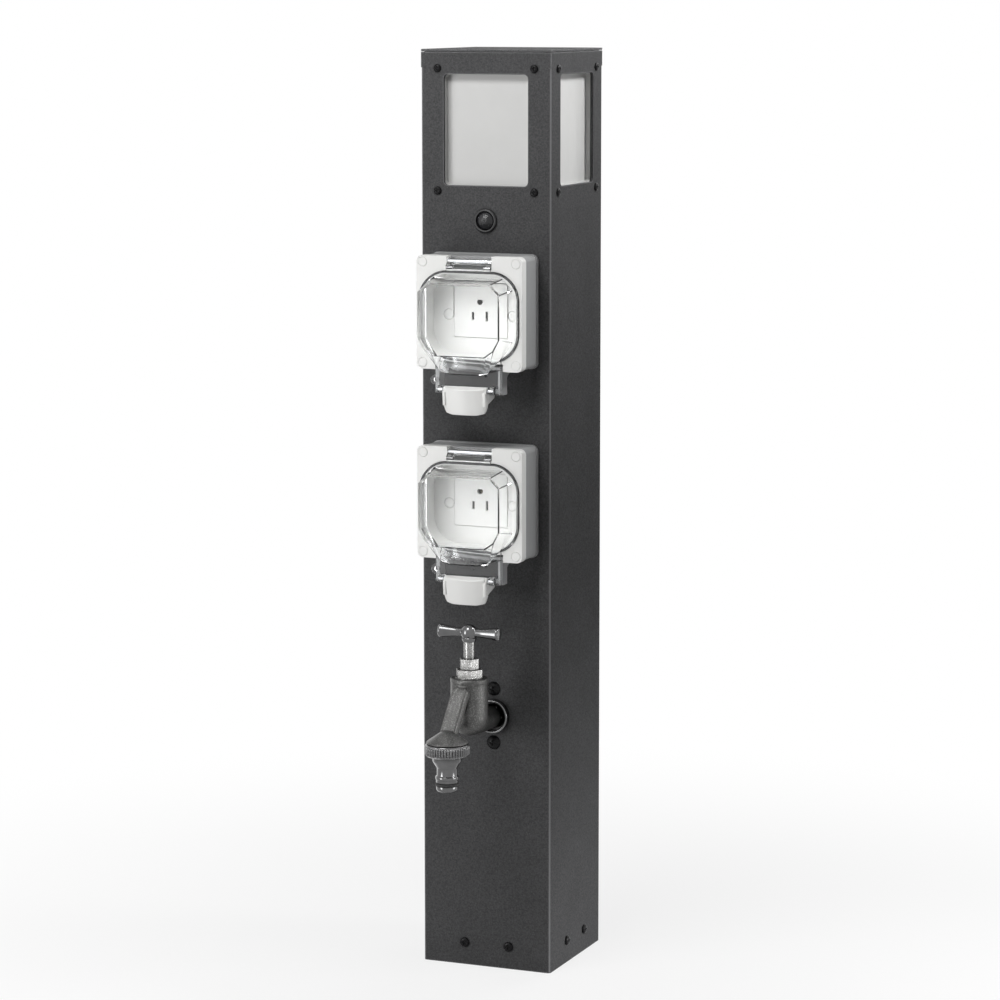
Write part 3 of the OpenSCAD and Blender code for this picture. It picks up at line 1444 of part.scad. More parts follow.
// A lead that rises from the terminal box and turns forwards to the rear of a socket insert
module outlet_lead(x, z_end) {
  rear_y = -half_w + insert_back;
  start = term_top - term_wall - lead_in;
  color("dimgray") {
    translate([x, lead_y, start]) cylinder(r = lead_r, h = z_end - lead_bend - start);
    translate([x, lead_y - lead_bend, z_end - lead_bend]) rotate([90, 0, 90])
      rotate_extrude(angle = 90) translate([lead_bend, 0]) circle(lead_r);
    translate([x, rear_y, z_end]) rotate([-90, 0, 0])
      cylinder(r = lead_r, h = lead_y - lead_bend - rear_y);
  }
}

// The lamp's lead steps towards the middle of the post under the shelf
lamp_bend = 12;
lamp_turn_z = shelf_z - 32;

module lamp_lead() {
  start = term_top - term_wall - lead_in;
  mid_y = lead_y - lamp_bend;
  rise_y = lamp_lead_y + lamp_bend;
  color("dimgray") {
    translate([0, lead_y, start]) cylinder(r = lead_r, h = lamp_turn_z - lamp_bend - start);
    translate([0, mid_y, lamp_turn_z - lamp_bend]) rotate([90, 0, 90])
      rotate_extrude(angle = 90) translate([lamp_bend, 0]) circle(lead_r);
    translate([0, rise_y, lamp_turn_z]) rotate([-90, 0, 0]) cylinder(r = lead_r, h = mid_y - rise_y);
    translate([0, rise_y, lamp_turn_z + lamp_bend]) rotate([90, 0, 90])
      rotate([0, 0, 180]) rotate_extrude(angle = 90) translate([lamp_bend, 0]) circle(lead_r);
    translate([0, lamp_lead_y, lamp_turn_z + lamp_bend])
      cylinder(r = lead_r, h = shelf_z + shelf_t - lamp_turn_z - lamp_bend);
  }
}

// The sensor's lead runs back from its body and up through the shelf
sensor_bend = 10;

module sensor_lead() {
  body_y = -half_w + sensor_len;
  turn_y = sensor_lead_y - sensor_bend;
  color("dimgray") {
    translate([0, body_y, sensor_z]) rotate([-90, 0, 0])
      cylinder(r = sensor_lead_r, h = turn_y - body_y);
    translate([0, turn_y, sensor_z + sensor_bend]) rotate([90, 0, 90]) rotate([0, 0, 270])
      rotate_extrude(angle = 90) translate([sensor_bend, 0]) circle(sensor_lead_r);
    translate([0, sensor_lead_y, sensor_z + sensor_bend])
      cylinder(r = sensor_lead_r, h = shelf_z + shelf_t - sensor_z - sensor_bend);
  }
}

post_casing();
top_cap();
base_bracket();
base_screws();
lamp_window(0);  // front_lamp_window
lamp_window(90);  // right_lamp_window
lamp_window(180);  // back_lamp_window
lamp_window(270);  // left_lamp_window
window_gaskets();
window_screws();
lamp_shelf();
lamp_holder();
led_bulb();
sensor_dome();
sensor_bezel();
sensor_body();
sensor_nut();
back_box(upper_z);  // upper_back_box
back_box(lower_z);  // lower_back_box
front_frame(upper_z);  // upper_front_frame
front_frame(lower_z);  // lower_front_frame
lid_seal(upper_z);  // upper_lid_seal
lid_seal(lower_z);  // lower_lid_seal
socket_carrier(upper_z);  // upper_socket_carrier
socket_carrier(lower_z);  // lower_socket_carrier
socket_insert(upper_z);  // upper_socket_insert
socket_insert(lower_z);  // lower_socket_insert
contacts(upper_z);  // upper_contacts
contacts(lower_z);  // lower_contacts
clear_lid(upper_z);  // upper_clear_lid
clear_lid(lower_z);  // lower_clear_lid
lid_hinge_pins();
latch(upper_z);  // upper_latch
latch(lower_z);  // lower_latch
latch_pin(upper_z);  // upper_latch_pin
latch_pin(lower_z);  // lower_latch_pin
box_screws();
frame_screws();
screw_caps();
carrier_screws();
tap_flange();
tap_body();
tap_bonnet();
tap_gland_nut();
tap_spindle();
tap_handle();
tap_jumper();
valve_washer();
hose_adapter();
hose_o_ring();
tap_screws();
wall_elbow();
riser_pipe();
inlet_coupling();
terminal_box();
terminal_box_cover();
outlet_lead(lead_x, upper_z);  // upper_outlet_lead
outlet_lead(-lead_x, lower_z);  // lower_outlet_lead
lamp_lead();
sensor_lead();
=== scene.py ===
# Garden socket post: the finished surfaces, materials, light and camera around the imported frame.
# Sizes are in millimetres until they enter a mesh, which is in metres.
import json
import logging
import math
from dataclasses import dataclass, field
from enum import Enum
from typing import Iterable, Optional, Protocol, Self, Sequence, Union

import bmesh
import bpy
import numpy as np
from mathutils import Matrix, Vector


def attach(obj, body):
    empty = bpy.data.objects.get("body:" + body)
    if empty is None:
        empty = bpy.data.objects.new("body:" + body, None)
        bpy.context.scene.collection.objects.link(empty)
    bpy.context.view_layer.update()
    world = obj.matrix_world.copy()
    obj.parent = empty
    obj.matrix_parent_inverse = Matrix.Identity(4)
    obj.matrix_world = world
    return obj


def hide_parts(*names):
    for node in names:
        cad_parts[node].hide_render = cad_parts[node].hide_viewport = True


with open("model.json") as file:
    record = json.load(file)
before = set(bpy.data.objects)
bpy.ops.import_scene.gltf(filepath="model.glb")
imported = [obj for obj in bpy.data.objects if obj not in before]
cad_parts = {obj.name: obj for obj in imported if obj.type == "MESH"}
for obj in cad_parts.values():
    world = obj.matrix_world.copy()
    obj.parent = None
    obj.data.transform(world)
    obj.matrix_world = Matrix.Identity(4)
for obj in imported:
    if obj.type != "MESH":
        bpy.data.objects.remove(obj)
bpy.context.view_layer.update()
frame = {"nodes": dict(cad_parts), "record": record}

MM = 0.001
MERGE = 2e-6  # in metres: points that lie closer are one point
TINY = 1e-9  # keeps a length from being divided by zero
CREASE = 34.0  # in degrees: a sharper edge isn't shaded smooth
FILLET_MOST = 0.45  # the largest share of a side that one fillet takes
MIDDLE = (0.3, 0.7)  # the band that most values of a noise lie in
WHOLE = (0.0, 1.0)

Array = np.ndarray
Socket = bpy.types.NodeSocket
Point = tuple[float, float, float]
Colour = tuple[float, float, float]
Paint = Union[Colour, Socket]
Band = tuple[float, float]
Profile = tuple[tuple[float, float], ...]

logging.basicConfig(level=logging.INFO, format="%(message)s")
log = logging.getLogger("socket_post")


class Axis(Enum):
    """The world direction that a part's own length points in."""

    UP = ((1, 0, 0), (0, 1, 0), (0, 0, 1))
    OUT = ((1, 0, 0), (0, 0, -1), (0, 1, 0))
    ACROSS = ((0, 0, 1), (1, 0, 0), (0, 1, 0))


class Side(Enum):
    """A side of the post with a lamp window."""

    FRONT = "front"
    RIGHT = "right"
    BACK = "back"
    LEFT = "left"


class Level(Enum):
    """One of the two outlets."""

    UPPER = "upper"
    LOWER = "lower"


class Sum(Enum):
    """What a shader works out of one or two values."""

    LARGER = "MAXIMUM"
    PRODUCT = "MULTIPLY"
    SIZE = "ABSOLUTE"


# ---- surfaces ----


def angles(steps: int) -> Array:
    """Equal angles round a full turn, in radians."""
    return np.linspace(0.0, 2.0 * np.pi, steps, endpoint=False)


def circle(steps: int) -> Array:
    """Unit circle: (cos a, sin a) at equal angles, of shape (steps, 2)."""
    return np.stack([np.cos(angles(steps)), np.sin(angles(steps))], axis=-1)


def filleted(corners: Sequence[Sequence[float]], radius: float, steps: int = 8) -> Array:
    """Closed outline with round corners: each corner gives way to an arc tangent to both its sides.

    The arc's centre lies on the bisector at radius / cos(half the turn), and the arc sweeps the turn.

    Args:
        corners: corner points in order, anticlockwise.
        radius: fillet radius of all corners.
        steps: points in each arc.

    Returns:
        Points of shape (corners * steps, 2).
    """
    here = np.asarray(corners, float)
    back = np.roll(here, 1, axis=0) - here
    ahead = np.roll(here, -1, axis=0) - here
    back /= np.linalg.norm(back, axis=1, keepdims=True)
    ahead /= np.linalg.norm(ahead, axis=1, keepdims=True)
    turn = np.pi - np.arccos(np.clip((back * ahead).sum(axis=1), -1.0, 1.0))
    bisector = back + ahead
    bisector /= np.maximum(np.linalg.norm(bisector, axis=1, keepdims=True), TINY)
    side = np.sign(-back[:, 0] * ahead[:, 1] + back[:, 1] * ahead[:, 0])
    centre = here + bisector * (radius / np.cos(turn / 2))[:, None]
    middle = np.arctan2(-bisector[:, 1], -bisector[:, 0])
    share = np.linspace(-0.5, 0.5, steps)
    angle = middle[:, None] + side[:, None] * turn[:, None] * share[None, :]
    arc = np.stack([np.cos(angle), np.sin(angle)], axis=-1)
    return (centre[:, None, :] + radius * arc).reshape(-1, 2)


def smooth_profile(points: Sequence[Sequence[float]], radius: float, steps: int = 4) -> Array:
    """Open profile whose inner corners are filleted, and whose two ends stay where they are.

    Each corner gives way to the curve (1 - t)^2 * start + 2 t (1 - t) * corner + t^2 * end.

    Args:
        points: profile as (radius, height) pairs.
        radius: reach of each fillet, held to under half of the shorter side at its corner.
        steps: points in each curve.

    Returns:
        Points of shape (n, 2).
    """
    line = np.asarray(points, float)
    here, back, ahead = line[1:-1], line[:-2] - line[1:-1], line[2:] - line[1:-1]
    back_len = np.linalg.norm(back, axis=1)
    ahead_len = np.linalg.norm(ahead, axis=1)
    reach = np.minimum(radius, FILLET_MOST * np.minimum(back_len, ahead_len))[:, None]
    start = here + back / back_len[:, None] * reach
    end = here + ahead / ahead_len[:, None] * reach
    t = np.linspace(0.0, 1.0, steps)[None, :, None]
    curve = (1 - t) ** 2 * start[:, None] + 2 * t * (1 - t) * here[:, None] + t**2 * end[:, None]
    return np.concatenate([line[:1], curve.reshape(-1, 2), line[-1:]])


def placed(points: Array, origin: Sequence[float], axis: Axis) -> Array:
    """Turns points so that their third coordinate runs along the axis, and moves them to the origin."""
    return points @ np.asarray(axis.value, float).T + np.asarray(origin, float)


class Surface:
    """Points and faces of one piece, gathered part by part in millimetres."""

    def __init__(self, name: str) -> None:
        """Starts an empty piece.

        Args:
            name: the piece's name in plain words.
        """
        self.name = name
        self.points: list[Array] = []
        self.faces: list[tuple[int, ...]] = []
        self.count = 0

    def add(self, points: Array, faces: Iterable[Sequence[int]]) -> Self:
        """Adds loose points and the faces between them.

        Args:
            points: the new points, of any shape that ends in 3.
            faces: faces as numbers of the new points, from 0.

        Returns:
            The piece itself.
        """
        flat = np.asarray(points, float).reshape(-1, 3)
        self.faces += [tuple(int(i) + self.count for i in face) for face in faces]
        self.points.append(flat)
        self.count += len(flat)
        return self

    def grid(self, rows: Array, wrap_rows: bool = False, wrap_cols: bool = False, caps: bool = False) -> Self:
        """Adds the quads of a grid: point (i, j) joins (i + 1, j) and (i, j + 1).

        Args:
            rows: points of shape (rows, columns, 3).
            wrap_rows: joins the last row to the first.
            wrap_cols: joins the last column to the first.
            caps: closes the first and the last row with one face each.

        Returns:
            The piece itself.
        """
        n_rows, n_cols = rows.shape[:2]
        i = np.arange(n_rows if wrap_rows else n_rows - 1)[:, None]
        j = np.arange(n_cols if wrap_cols else n_cols - 1)[None, :]
        up, on = (i + 1) % n_rows, (j + 1) % n_cols
        quads = np.stack([i * n_cols + j, i * n_cols + on, up * n_cols + on, up * n_cols + j], axis=-1)
        faces = quads.reshape(-1, 4).tolist()
        if caps:
            faces.append(list(range(n_cols))[::-1])
            faces.append(list(range((n_rows - 1) * n_cols, n_rows * n_cols)))
        return self.add(rows, faces)

    def revolve(self, profile: Array, origin: Point, axis: Axis, steps: int = 96,
                closed: bool = False, radial: Optional[Array] = None) -> Self:
        """Adds a turned part: (r, h) becomes (r cos a, r sin a, h) about the axis.

        Args:
            profile: (radius, height) points.
            origin: place of the profile's zero.
            axis: direction of the turning axis.
            steps: points round the axis.
            closed: whether the profile ends where it starts.
            radial: extra radius of shape (profile, steps), such as for ribs.

        Returns:
            The piece itself.
        """
        ring = circle(steps)
        radius = profile[:, 0][:, None] + (0.0 if radial is None else radial)
        flat = radius[:, :, None] * ring[None]
        height = np.broadcast_to(profile[:, 1][:, None], flat.shape[:2])
        local = np.concatenate([flat, height[:, :, None]], axis=-1)
        return self.grid(placed(local, origin, axis), wrap_rows=closed, wrap_cols=True)

    def prism(self, outline: Array, low: float, high: float, origin: Point, axis: Axis,
              edge: float, steps: int = 3) -> Self:
        """Adds a plate: an outline carried from low to high, with quarter-round rims.

        At the angle a the outline shrinks by edge * (1 - sin a) while the height gains
        edge * (1 - cos a), so that both rims are rounded.

        Args:
            outline: points of shape (n, 2), anticlockwise.
            low: height of the first face.
            high: height of the second face.
            origin: place of the outline's zero.
            axis: direction of the plate's thickness.
            edge: radius of the rounded rims.
            steps: points across each rounded rim.

        Returns:
            The piece itself.
        """
        ahead = np.roll(outline, -1, axis=0) - np.roll(outline, 1, axis=0)
        normal = np.stack([ahead[:, 1], -ahead[:, 0]], axis=-1)
        normal /= np.maximum(np.linalg.norm(normal, axis=1, keepdims=True), TINY)
        a = np.linspace(0.0, np.pi / 2, steps)
        inset, rise = edge * (1 - np.sin(a)), edge * (1 - np.cos(a))
        shrink = np.concatenate([inset, inset[::-1]])
        height = np.concatenate([low + rise, high - rise[::-1]])
        ring = outline[None] - normal[None] * shrink[:, None, None]
        level = np.broadcast_to(height[:, None, None], (*ring.shape[:2], 1))
        local = np.concatenate([ring, level], axis=-1)
        return self.grid(placed(local, origin, axis), wrap_cols=True, caps=True)

    def build(self) -> bpy.types.Object:
        """Makes the object: merges doubles, turns the faces outwards and shades them smooth.

        Returns:
            The new object, at the origin.
        """
        mesh = bpy.data.meshes.new(self.name)
        mesh.from_pydata((np.concatenate(self.points) * MM).tolist(), [], self.faces)
        solid = bmesh.new()
        solid.from_mesh(mesh)
        bmesh.ops.remove_doubles(solid, verts=solid.verts, dist=MERGE)
        bmesh.ops.recalc_face_normals(solid, faces=solid.faces)
        solid.to_mesh(mesh)
        solid.free()
        return shown(self.name, mesh)


def shown(name: str, mesh: bpy.types.Mesh, crease: float = CREASE) -> bpy.types.Object:
    """Puts a mesh into the scene at the origin, shaded smooth but for its sharp edges.

    Args:
        name: the object's name.
        mesh: its mesh.
        crease: angle in degrees over which an edge stays sharp.

    Returns:
        The new object.
    """
    mesh.polygons.foreach_set("use_smooth", np.ones(len(mesh.polygons), bool))
    mesh.set_sharp_from_angle(angle=math.radians(crease))
    made = bpy.data.objects.new(name, mesh)
    bpy.context.scene.collection.objects.link(made)
    return made


def bevelled(piece: bpy.types.Object, width: float, segments: int = 3, angle: float = CREASE,
             harden: bool = True) -> bpy.types.Object:
    """Rounds the piece's sharp edges.

    Args:
        piece: the object.
        width: width of the rounded edges.
        segments: faces across each edge.
        angle: angle in degrees over which an edge is rounded.
        harden: whether flat faces keep their own shading up to the edges.

    Returns:
        The piece itself.
    """
    edge = piece.modifiers.new("rounded edges", "BEVEL")
    edge.width = width * MM
    edge.segments = segments
    edge.limit_method = "ANGLE"
    edge.angle_limit = math.radians(angle)
    edge.harden_normals = harden
    return piece


def melted(piece: bpy.types.Object, voxel: float, passes: int, strength: float = 0.5) -> bpy.types.Object:
    """Runs the parts of a casting together: one skin over them, then smoothing of its creases.

    Args:
        piece: the object, whose parts overlap.
        voxel: size of the skin's cells.
        passes: how often the skin is smoothed.
        strength: how far a point moves in each pass, from 0 to 1.

    Returns:
        The piece itself.
    """
    skin = piece.modifiers.new("one skin", "REMESH")
    skin.mode = "VOXEL"
    skin.voxel_size = voxel * MM
    skin.use_smooth_shade = True
    soft = piece.modifiers.new("cast fillets", "SMOOTH")
    soft.factor = strength
    soft.iterations = passes
    return piece


def body_of(node: str) -> str:
    """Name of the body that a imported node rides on."""
    groups = frame["record"]["behaviour"]["bodies"]
    return next(body for body, members in groups.items() if node in members)


def slot_of(node: str) -> str:
    """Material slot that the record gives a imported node."""
    return next(row["material_slot"] for row in frame["record"]["subparts"] if row["node"] == node)


def stand_for(piece: bpy.types.Object, *nodes: str, finish: str = "") -> bpy.types.Object:
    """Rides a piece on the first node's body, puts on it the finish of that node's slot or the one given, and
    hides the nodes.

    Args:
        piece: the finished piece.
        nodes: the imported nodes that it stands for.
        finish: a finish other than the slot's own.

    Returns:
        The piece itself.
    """
    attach(piece, body_of(nodes[0]))
    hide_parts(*nodes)
    piece.data.materials.append(FINISHES[finish or slot_of(nodes[0])])
    log.info("%s stands for %s", piece.name, ", ".join(nodes))
    return piece


def rounded_copy(node: str, name: str, edge: float, segments: int = 2, crease: float = CREASE,
                 flat: float = 0.5, finish: str = "") -> bpy.types.Object:
    """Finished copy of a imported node: merged, its flat faces joined, and its sharp edges rounded.

    Args:
        node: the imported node.
        name: the new piece's name.
        edge: width of the rounded edges; 0 leaves them.
        segments: faces across each rounded edge.
        crease: angle in degrees over which an edge counts as sharp.
        flat: angle in degrees under which neighbouring faces are joined.
        finish: a finish other than the slot's own.

    Returns:
        The new piece, riding on the node's body and standing for it.
    """
    mesh = frame["nodes"][node].data.copy()
    mesh.name = name
    mesh.materials.clear()
    solid = bmesh.new()
    solid.from_mesh(mesh)
    bmesh.ops.remove_doubles(solid, verts=solid.verts, dist=MERGE)
    bmesh.ops.dissolve_limit(solid, angle_limit=math.radians(flat), verts=solid.verts, edges=solid.edges)
    solid.to_mesh(mesh)
    solid.free()
    if "custom_normal" in mesh.attributes:
        mesh.attributes.remove(mesh.attributes["custom_normal"])
    piece = shown(name, mesh, crease)
    if edge > 0:
        bevelled(piece, edge, segments, crease)
    return stand_for(piece, node, finish=finish)


# ---- finishes ----


class Wiring:
    """The nodes of one shader in the making."""

    def __init__(self, tree: bpy.types.NodeTree) -> None:
        """Starts from an empty tree.

        Args:
            tree: the node tree of the material or the world.
        """
        self.tree = tree
        self.tree.nodes.clear()

    def node(self, kind: str, **values: object) -> bpy.types.ShaderNode:
        """Adds a node and sets its own values.

        Args:
            kind: the node's type.
            values: the node's properties by name.

        Returns:
            The node.
        """
        made = self.tree.nodes.new(kind)
        for key, value in values.items():
            setattr(made, key, value)
        return made

    def link(self, start: Socket, end: Socket) -> None:
        """Joins two sockets."""
        self.tree.links.new(start, end)

    def sum(self, what: Sum, first: Socket, second: Optional[Socket] = None) -> Socket:
        """Works out one value from one or two.

        Args:
            what: the sum.
            first: the first value.
            second: the second value, where the sum takes two.

        Returns:
            The result.
        """
        made = self.node("ShaderNodeMath", operation=what.value)
        self.link(first, made.inputs[0])
        if second is not None:
            self.link(second, made.inputs[1])
        return made.outputs[0]

    def ranged(self, value: Socket, band: Band, onto: Band, smooth: bool = False) -> Socket:
        """Maps a value from one range to another, held at the ends.

        Args:
            value: the value.
            band: the two ends that it is mapped from.
            onto: the two ends that it is mapped to.
            smooth: whether it leaves and reaches the ends gently.

        Returns:
            The mapped value.
        """
        made = self.node("ShaderNodeMapRange", interpolation_type="SMOOTHSTEP" if smooth else "LINEAR")
        for key, number in zip(("From Min", "From Max", "To Min", "To Max"), (*band, *onto)):
            made.inputs[key].default_value = number
        self.link(value, made.inputs["Value"])
        return made.outputs["Result"]

    def seen_directly(self) -> Socket:
        """Picks the rays that come from the camera, also by way of gloss and glass.

        Returns:
            1 for these rays, and 0 for those that light the object.
        """
        path = self.node("ShaderNodeLightPath").outputs
        share = path["Is Camera Ray"]
        for key in ("Is Glossy Ray", "Is Transmission Ray"):
            share = self.sum(Sum.LARGER, share, path[key])
        before_diffuse = self.ranged(path["Diffuse Depth"], WHOLE, (1.0, 0.0))
        return self.sum(Sum.PRODUCT, share, before_diffuse)


class Recipe(Wiring):
    """A procedural material in the making, on Object coordinates in metres."""

    def __init__(self, name: str) -> None:
        """Starts a material with one principled shader.

        Args:
            name: the finish in plain words.
        """
        self.material = bpy.data.materials.new(name)
        self.material.use_nodes = True
        super().__init__(self.material.node_tree)
        self.shader = self.node("ShaderNodeBsdfPrincipled")
        output = self.node("ShaderNodeOutputMaterial")
        self.link(self.shader.outputs["BSDF"], output.inputs["Surface"])
        self.coords = self.node("ShaderNodeTexCoord").outputs["Object"]

    def set(self, **values: float | Point) -> Self:
        """Sets plain values on the shader's sockets.

        Args:
            values: the sockets' values by name, with _ for a space.

        Returns:
            The recipe itself.
        """
        for key, value in values.items():
            self.shader.inputs[key.replace("_", " ")].default_value = value
        return self

    def stretched(self, scale: Point) -> Socket:
        """Stretches the Object coordinates.

        Args:
            scale: factor along each axis; one under 1 draws a pattern out.

        Returns:
            The stretched coordinates.
        """
        mapping = self.node("ShaderNodeMapping")
        mapping.inputs["Scale"].default_value = scale
        self.link(self.coords, mapping.inputs["Vector"])
        return mapping.outputs["Vector"]

    def noise(self, size: float, detail: float = 2.0, rough: float = 0.5,
              where: Optional[Socket] = None) -> Socket:
        """Lays a cloudy noise.

        Args:
            size: size of the blotches.
            detail: number of finer layers.
            rough: strength of each finer layer against the last.
            where: coordinates other than the plain ones.

        Returns:
            The noise, from 0 to 1.
        """
        made = self.node("ShaderNodeTexNoise")
        made.inputs["Scale"].default_value = 1.0 / (size * MM)
        made.inputs["Detail"].default_value = detail
        made.inputs["Roughness"].default_value = rough
        self.link(where or self.coords, made.inputs["Vector"])
        return made.outputs["Fac"]

    def cells(self, size: float) -> Socket:
        """Lays cells that differ from one to the next.

        Args:
            size: size of the cells.

        Returns:
            The grey level of the cell, from 0 to 1.
        """
        made = self.node("ShaderNodeTexVoronoi")
        made.inputs["Scale"].default_value = 1.0 / (size * MM)
        self.link(self.coords, made.inputs["Vector"])
        grey = self.node("ShaderNodeSeparateColor")
        self.link(made.outputs["Color"], grey.inputs["Color"])
        return grey.outputs["Red"]

    def blended(self, share: Socket, first: Paint, second: Paint) -> Socket:
        """Mixes two colours.

        Args:
            share: share of the second colour, from 0 to 1.
            first: the first colour.
            second: the second colour.

        Returns:
            The mixed colour.
        """
        made = self.node("ShaderNodeMix", data_type="RGBA")
        self.link(share, made.inputs[0])
        for value, socket in ((first, made.inputs[6]), (second, made.inputs[7])):
            if isinstance(value, tuple):
                socket.default_value = (*value, 1.0)
            else:
                self.link(value, socket)
        return made.outputs[2]

    def over(self, base: Paint, top: Paint, pattern: Socket, band: Band = MIDDLE,
             most: float = 1.0) -> Socket:
        """Lays one colour over another where a pattern is high.

        Args:
            base: the colour below.
            top: the colour that is laid over it.
            pattern: the pattern.
            band: the pattern's values between which the top colour comes in.
            most: share of the top colour at the band's high end.

        Returns:
            The mixed colour.
        """
        return self.blended(self.ranged(pattern, band, (0.0, most)), base, top)

    def bumped(self, height: Socket, depth: float, after: Optional[Socket] = None) -> Socket:
        """Raises and sinks the surface's light and shade by a pattern.

        Args:
            height: the pattern.
            depth: its full depth.
            after: normal of the surface below it.

        Returns:
            The normal.
        """
        made = self.node("ShaderNodeBump")
        made.inputs["Distance"].default_value = depth * MM
        self.link(height, made.inputs["Height"])
        if after is not None:
            self.link(after, made.inputs["Normal"])
        return made.outputs["Normal"]

    def openness(self, reach: float) -> Socket:
        """Tells open faces from grooves and corners.

        Args:
            reach: how wide a groove may be.

        Returns:
            1 on open faces, and towards 0 in grooves and corners.
        """
        made = self.node("ShaderNodeAmbientOcclusion", samples=6)
        made.inputs["Distance"].default_value = reach * MM
        return made.outputs["AO"]

    def soft_edges(self, radius: float) -> Socket:
        """Rounds the light and shade over sharp edges.

        Args:
            radius: radius of the rounding.

        Returns:
            The rounded normal.
        """
        made = self.node("ShaderNodeBevel", samples=4)
        made.inputs["Radius"].default_value = radius * MM
        return made.outputs["Normal"]

    def edge_share(self, rounded: Socket, full: float = 0.85) -> Socket:
        """1 on sharp edges and 0 on faces: how far the rounded normal leaves the true one.

        Args:
            rounded: normal that is rounded over the edges.
            full: cosine of the angle between the two normals where the share reaches 1.

        Returns:
            The share.
        """
        true = self.node("ShaderNodeNewGeometry").outputs["Normal"]
        dot = self.node("ShaderNodeVectorMath", operation="DOT_PRODUCT")
        self.link(rounded, dot.inputs[0])
        self.link(true, dot.inputs[1])
        on_faces = 0.997
        return self.ranged(dot.outputs["Value"], (on_faces, full), WHOLE)

    def fold_share(self) -> Socket:
        """Tells a fold between two upright sides from the sides: |x * y| of the normal.

        Returns:
            Up to 0.5 on the fold, and 0 on the sides.
        """
        parts = self.node("ShaderNodeSeparateXYZ")
        self.link(self.node("ShaderNodeNewGeometry").outputs["Normal"], parts.inputs[0])
        return self.sum(Sum.SIZE, self.sum(Sum.PRODUCT, parts.outputs["X"], parts.outputs["Y"]))

    def slant(self) -> Socket:
        """0 where the surface faces the eye, and 1 where it is seen edge on."""
        return self.node("ShaderNodeLayerWeight").outputs["Facing"]

    def lit_through(self, share: float) -> Self:
        """Lets light from the lamps pass, as clear plastic does.

        Args:
            share: share of the light that passes.

        Returns:
            The recipe itself.
        """
        shadow = self.node("ShaderNodeLightPath").outputs["Is Shadow Ray"]
        self.link(self.ranged(shadow, WHOLE, (1.0, 1.0 - share)), self.shader.inputs["Alpha"])
        return self

    def done(self, colour: Socket, rough: Socket, normal: Socket) -> bpy.types.Material:
        """Joins the patterns to the shader.

        Args:
            colour: the base colour.
            rough: the roughness.
            normal: the normal.

        Returns:
            The material.
        """
        for value, key in ((colour, "Base Color"), (rough, "Roughness"), (normal, "Normal")):
            self.link(value, self.shader.inputs[key])
        return self.material


def scaled(colour: Colour, share: float) -> Colour:
    """The colour made lighter or darker, held under 1."""
    return tuple(min(c * share, 1.0) for c in colour)


class Finish(Protocol):
    """A finish: it makes its own material. Its sizes are in millimetres, its tones shares of its colour."""

    def mix(self, name: str) -> bpy.types.Material:
        """Makes the material under a name."""


@dataclass(frozen=True)
class PowderCoat:
    """Fine-textured powder coat: tiny orange-peel grains, cloudy gloss, edges lighter by slight rubbed wear
    and painted highlight, and a painted highlight along the folds.
    """

    colour: Colour
    grain: float = 1.7  # size of the orange peel
    grain_tone: float = 0.62
    depth: float = 0.1
    cloud: float = 38.0
    cloud_tones: Band = (1.12, 1.28)
    speck: float = 1.0
    speck_tone: float = 2.1
    wear_and_highlight_width: float = 1.6  # width of the lighter edges: rubbed wear and painted highlight
    wear_and_highlight_tone: float = 3.2
    # painted highlight: how much lighter the folded corners are painted
    fold_highlight_tone: float = 3.0
    edge: float = 0.8
    sheen: float = 11.0  # size of the patches of gloss
    gloss: Band = (0.44, 0.53)  # lowest and highest roughness
    index: float = 1.03

    def mix(self, name: str) -> bpy.types.Material:
        """Makes the material.

        Args:
            name: the finish in plain words.

        Returns:
            The material.
        """
        r = Recipe(name).set(IOR=self.index)
        grain = r.noise(self.grain, detail=3.0, rough=0.6)
        dark, pale = (scaled(self.colour, tone) for tone in self.cloud_tones)
        base = r.over(dark, pale, r.noise(self.cloud, detail=3.0, rough=0.55))
        mottled = r.over(base, scaled(self.colour, self.grain_tone), grain, band=(0.36, 0.64), most=0.62)
        speck = r.noise(self.speck, rough=0.6)
        flaked = r.over(mottled, scaled(self.colour, self.speck_tone), speck, band=(0.52, 0.7), most=0.42)
        # rubbed wear and painted highlight: sharp edges are painted lighter
        wear_and_highlight_mask = r.edge_share(r.soft_edges(self.wear_and_highlight_width), full=0.94)
        with_lighter_edges = r.over(flaked, scaled(self.colour, self.wear_and_highlight_tone), wear_and_highlight_mask, band=(0.05, 0.7), most=0.8)
        # painted highlight: the folds between upright sides are painted lighter
        fold = r.fold_share()
        painted_fold_highlight = r.over(with_lighter_edges, scaled(self.colour, self.fold_highlight_tone), fold, band=(0.34, 0.48), most=0.85)
        rough = r.ranged(r.noise(self.sheen), MIDDLE, self.gloss)
        return r.done(painted_fold_highlight, rough, r.bumped(grain, self.depth, r.soft_edges(self.edge)))


@dataclass(frozen=True)
class Moulding:
    """Moulded plastic: a fine matt grain, faint flow clouds and handling marks in the gloss."""

    colour: Colour
    rough: float = 0.4
    depth: float = 0.012  # of the grain
    edge: float = 0.35
    glow: float = 0.0  # share of the light that spreads inside
    glow_reach: float = 4.0
    flow: float = 24.0
    flow_tone: float = 0.965
    marks: float = 3.5
    grain: float = 0.45

    def mix(self, name: str) -> bpy.types.Material:
        """Makes the material.

        Args:
            name: the finish in plain words.

        Returns:
            The material.
        """
        reach = self.glow_reach * MM
        r = Recipe(name).set(Subsurface_Weight=self.glow, Subsurface_Radius=(reach, reach, reach))
        marks = r.noise(self.marks, detail=3.0, rough=0.6, where=r.stretched((1.0, 1.0, 0.25)))
        base = r.over(scaled(self.colour, self.flow_tone), self.colour, r.noise(self.flow))
        rough = r.ranged(marks, (0.35, 0.7), (self.rough - 0.05, self.rough + 0.08))
        grain = r.noise(self.grain, rough=0.6)
        return r.done(base, rough, r.bumped(grain, self.depth, r.soft_edges(self.edge)))


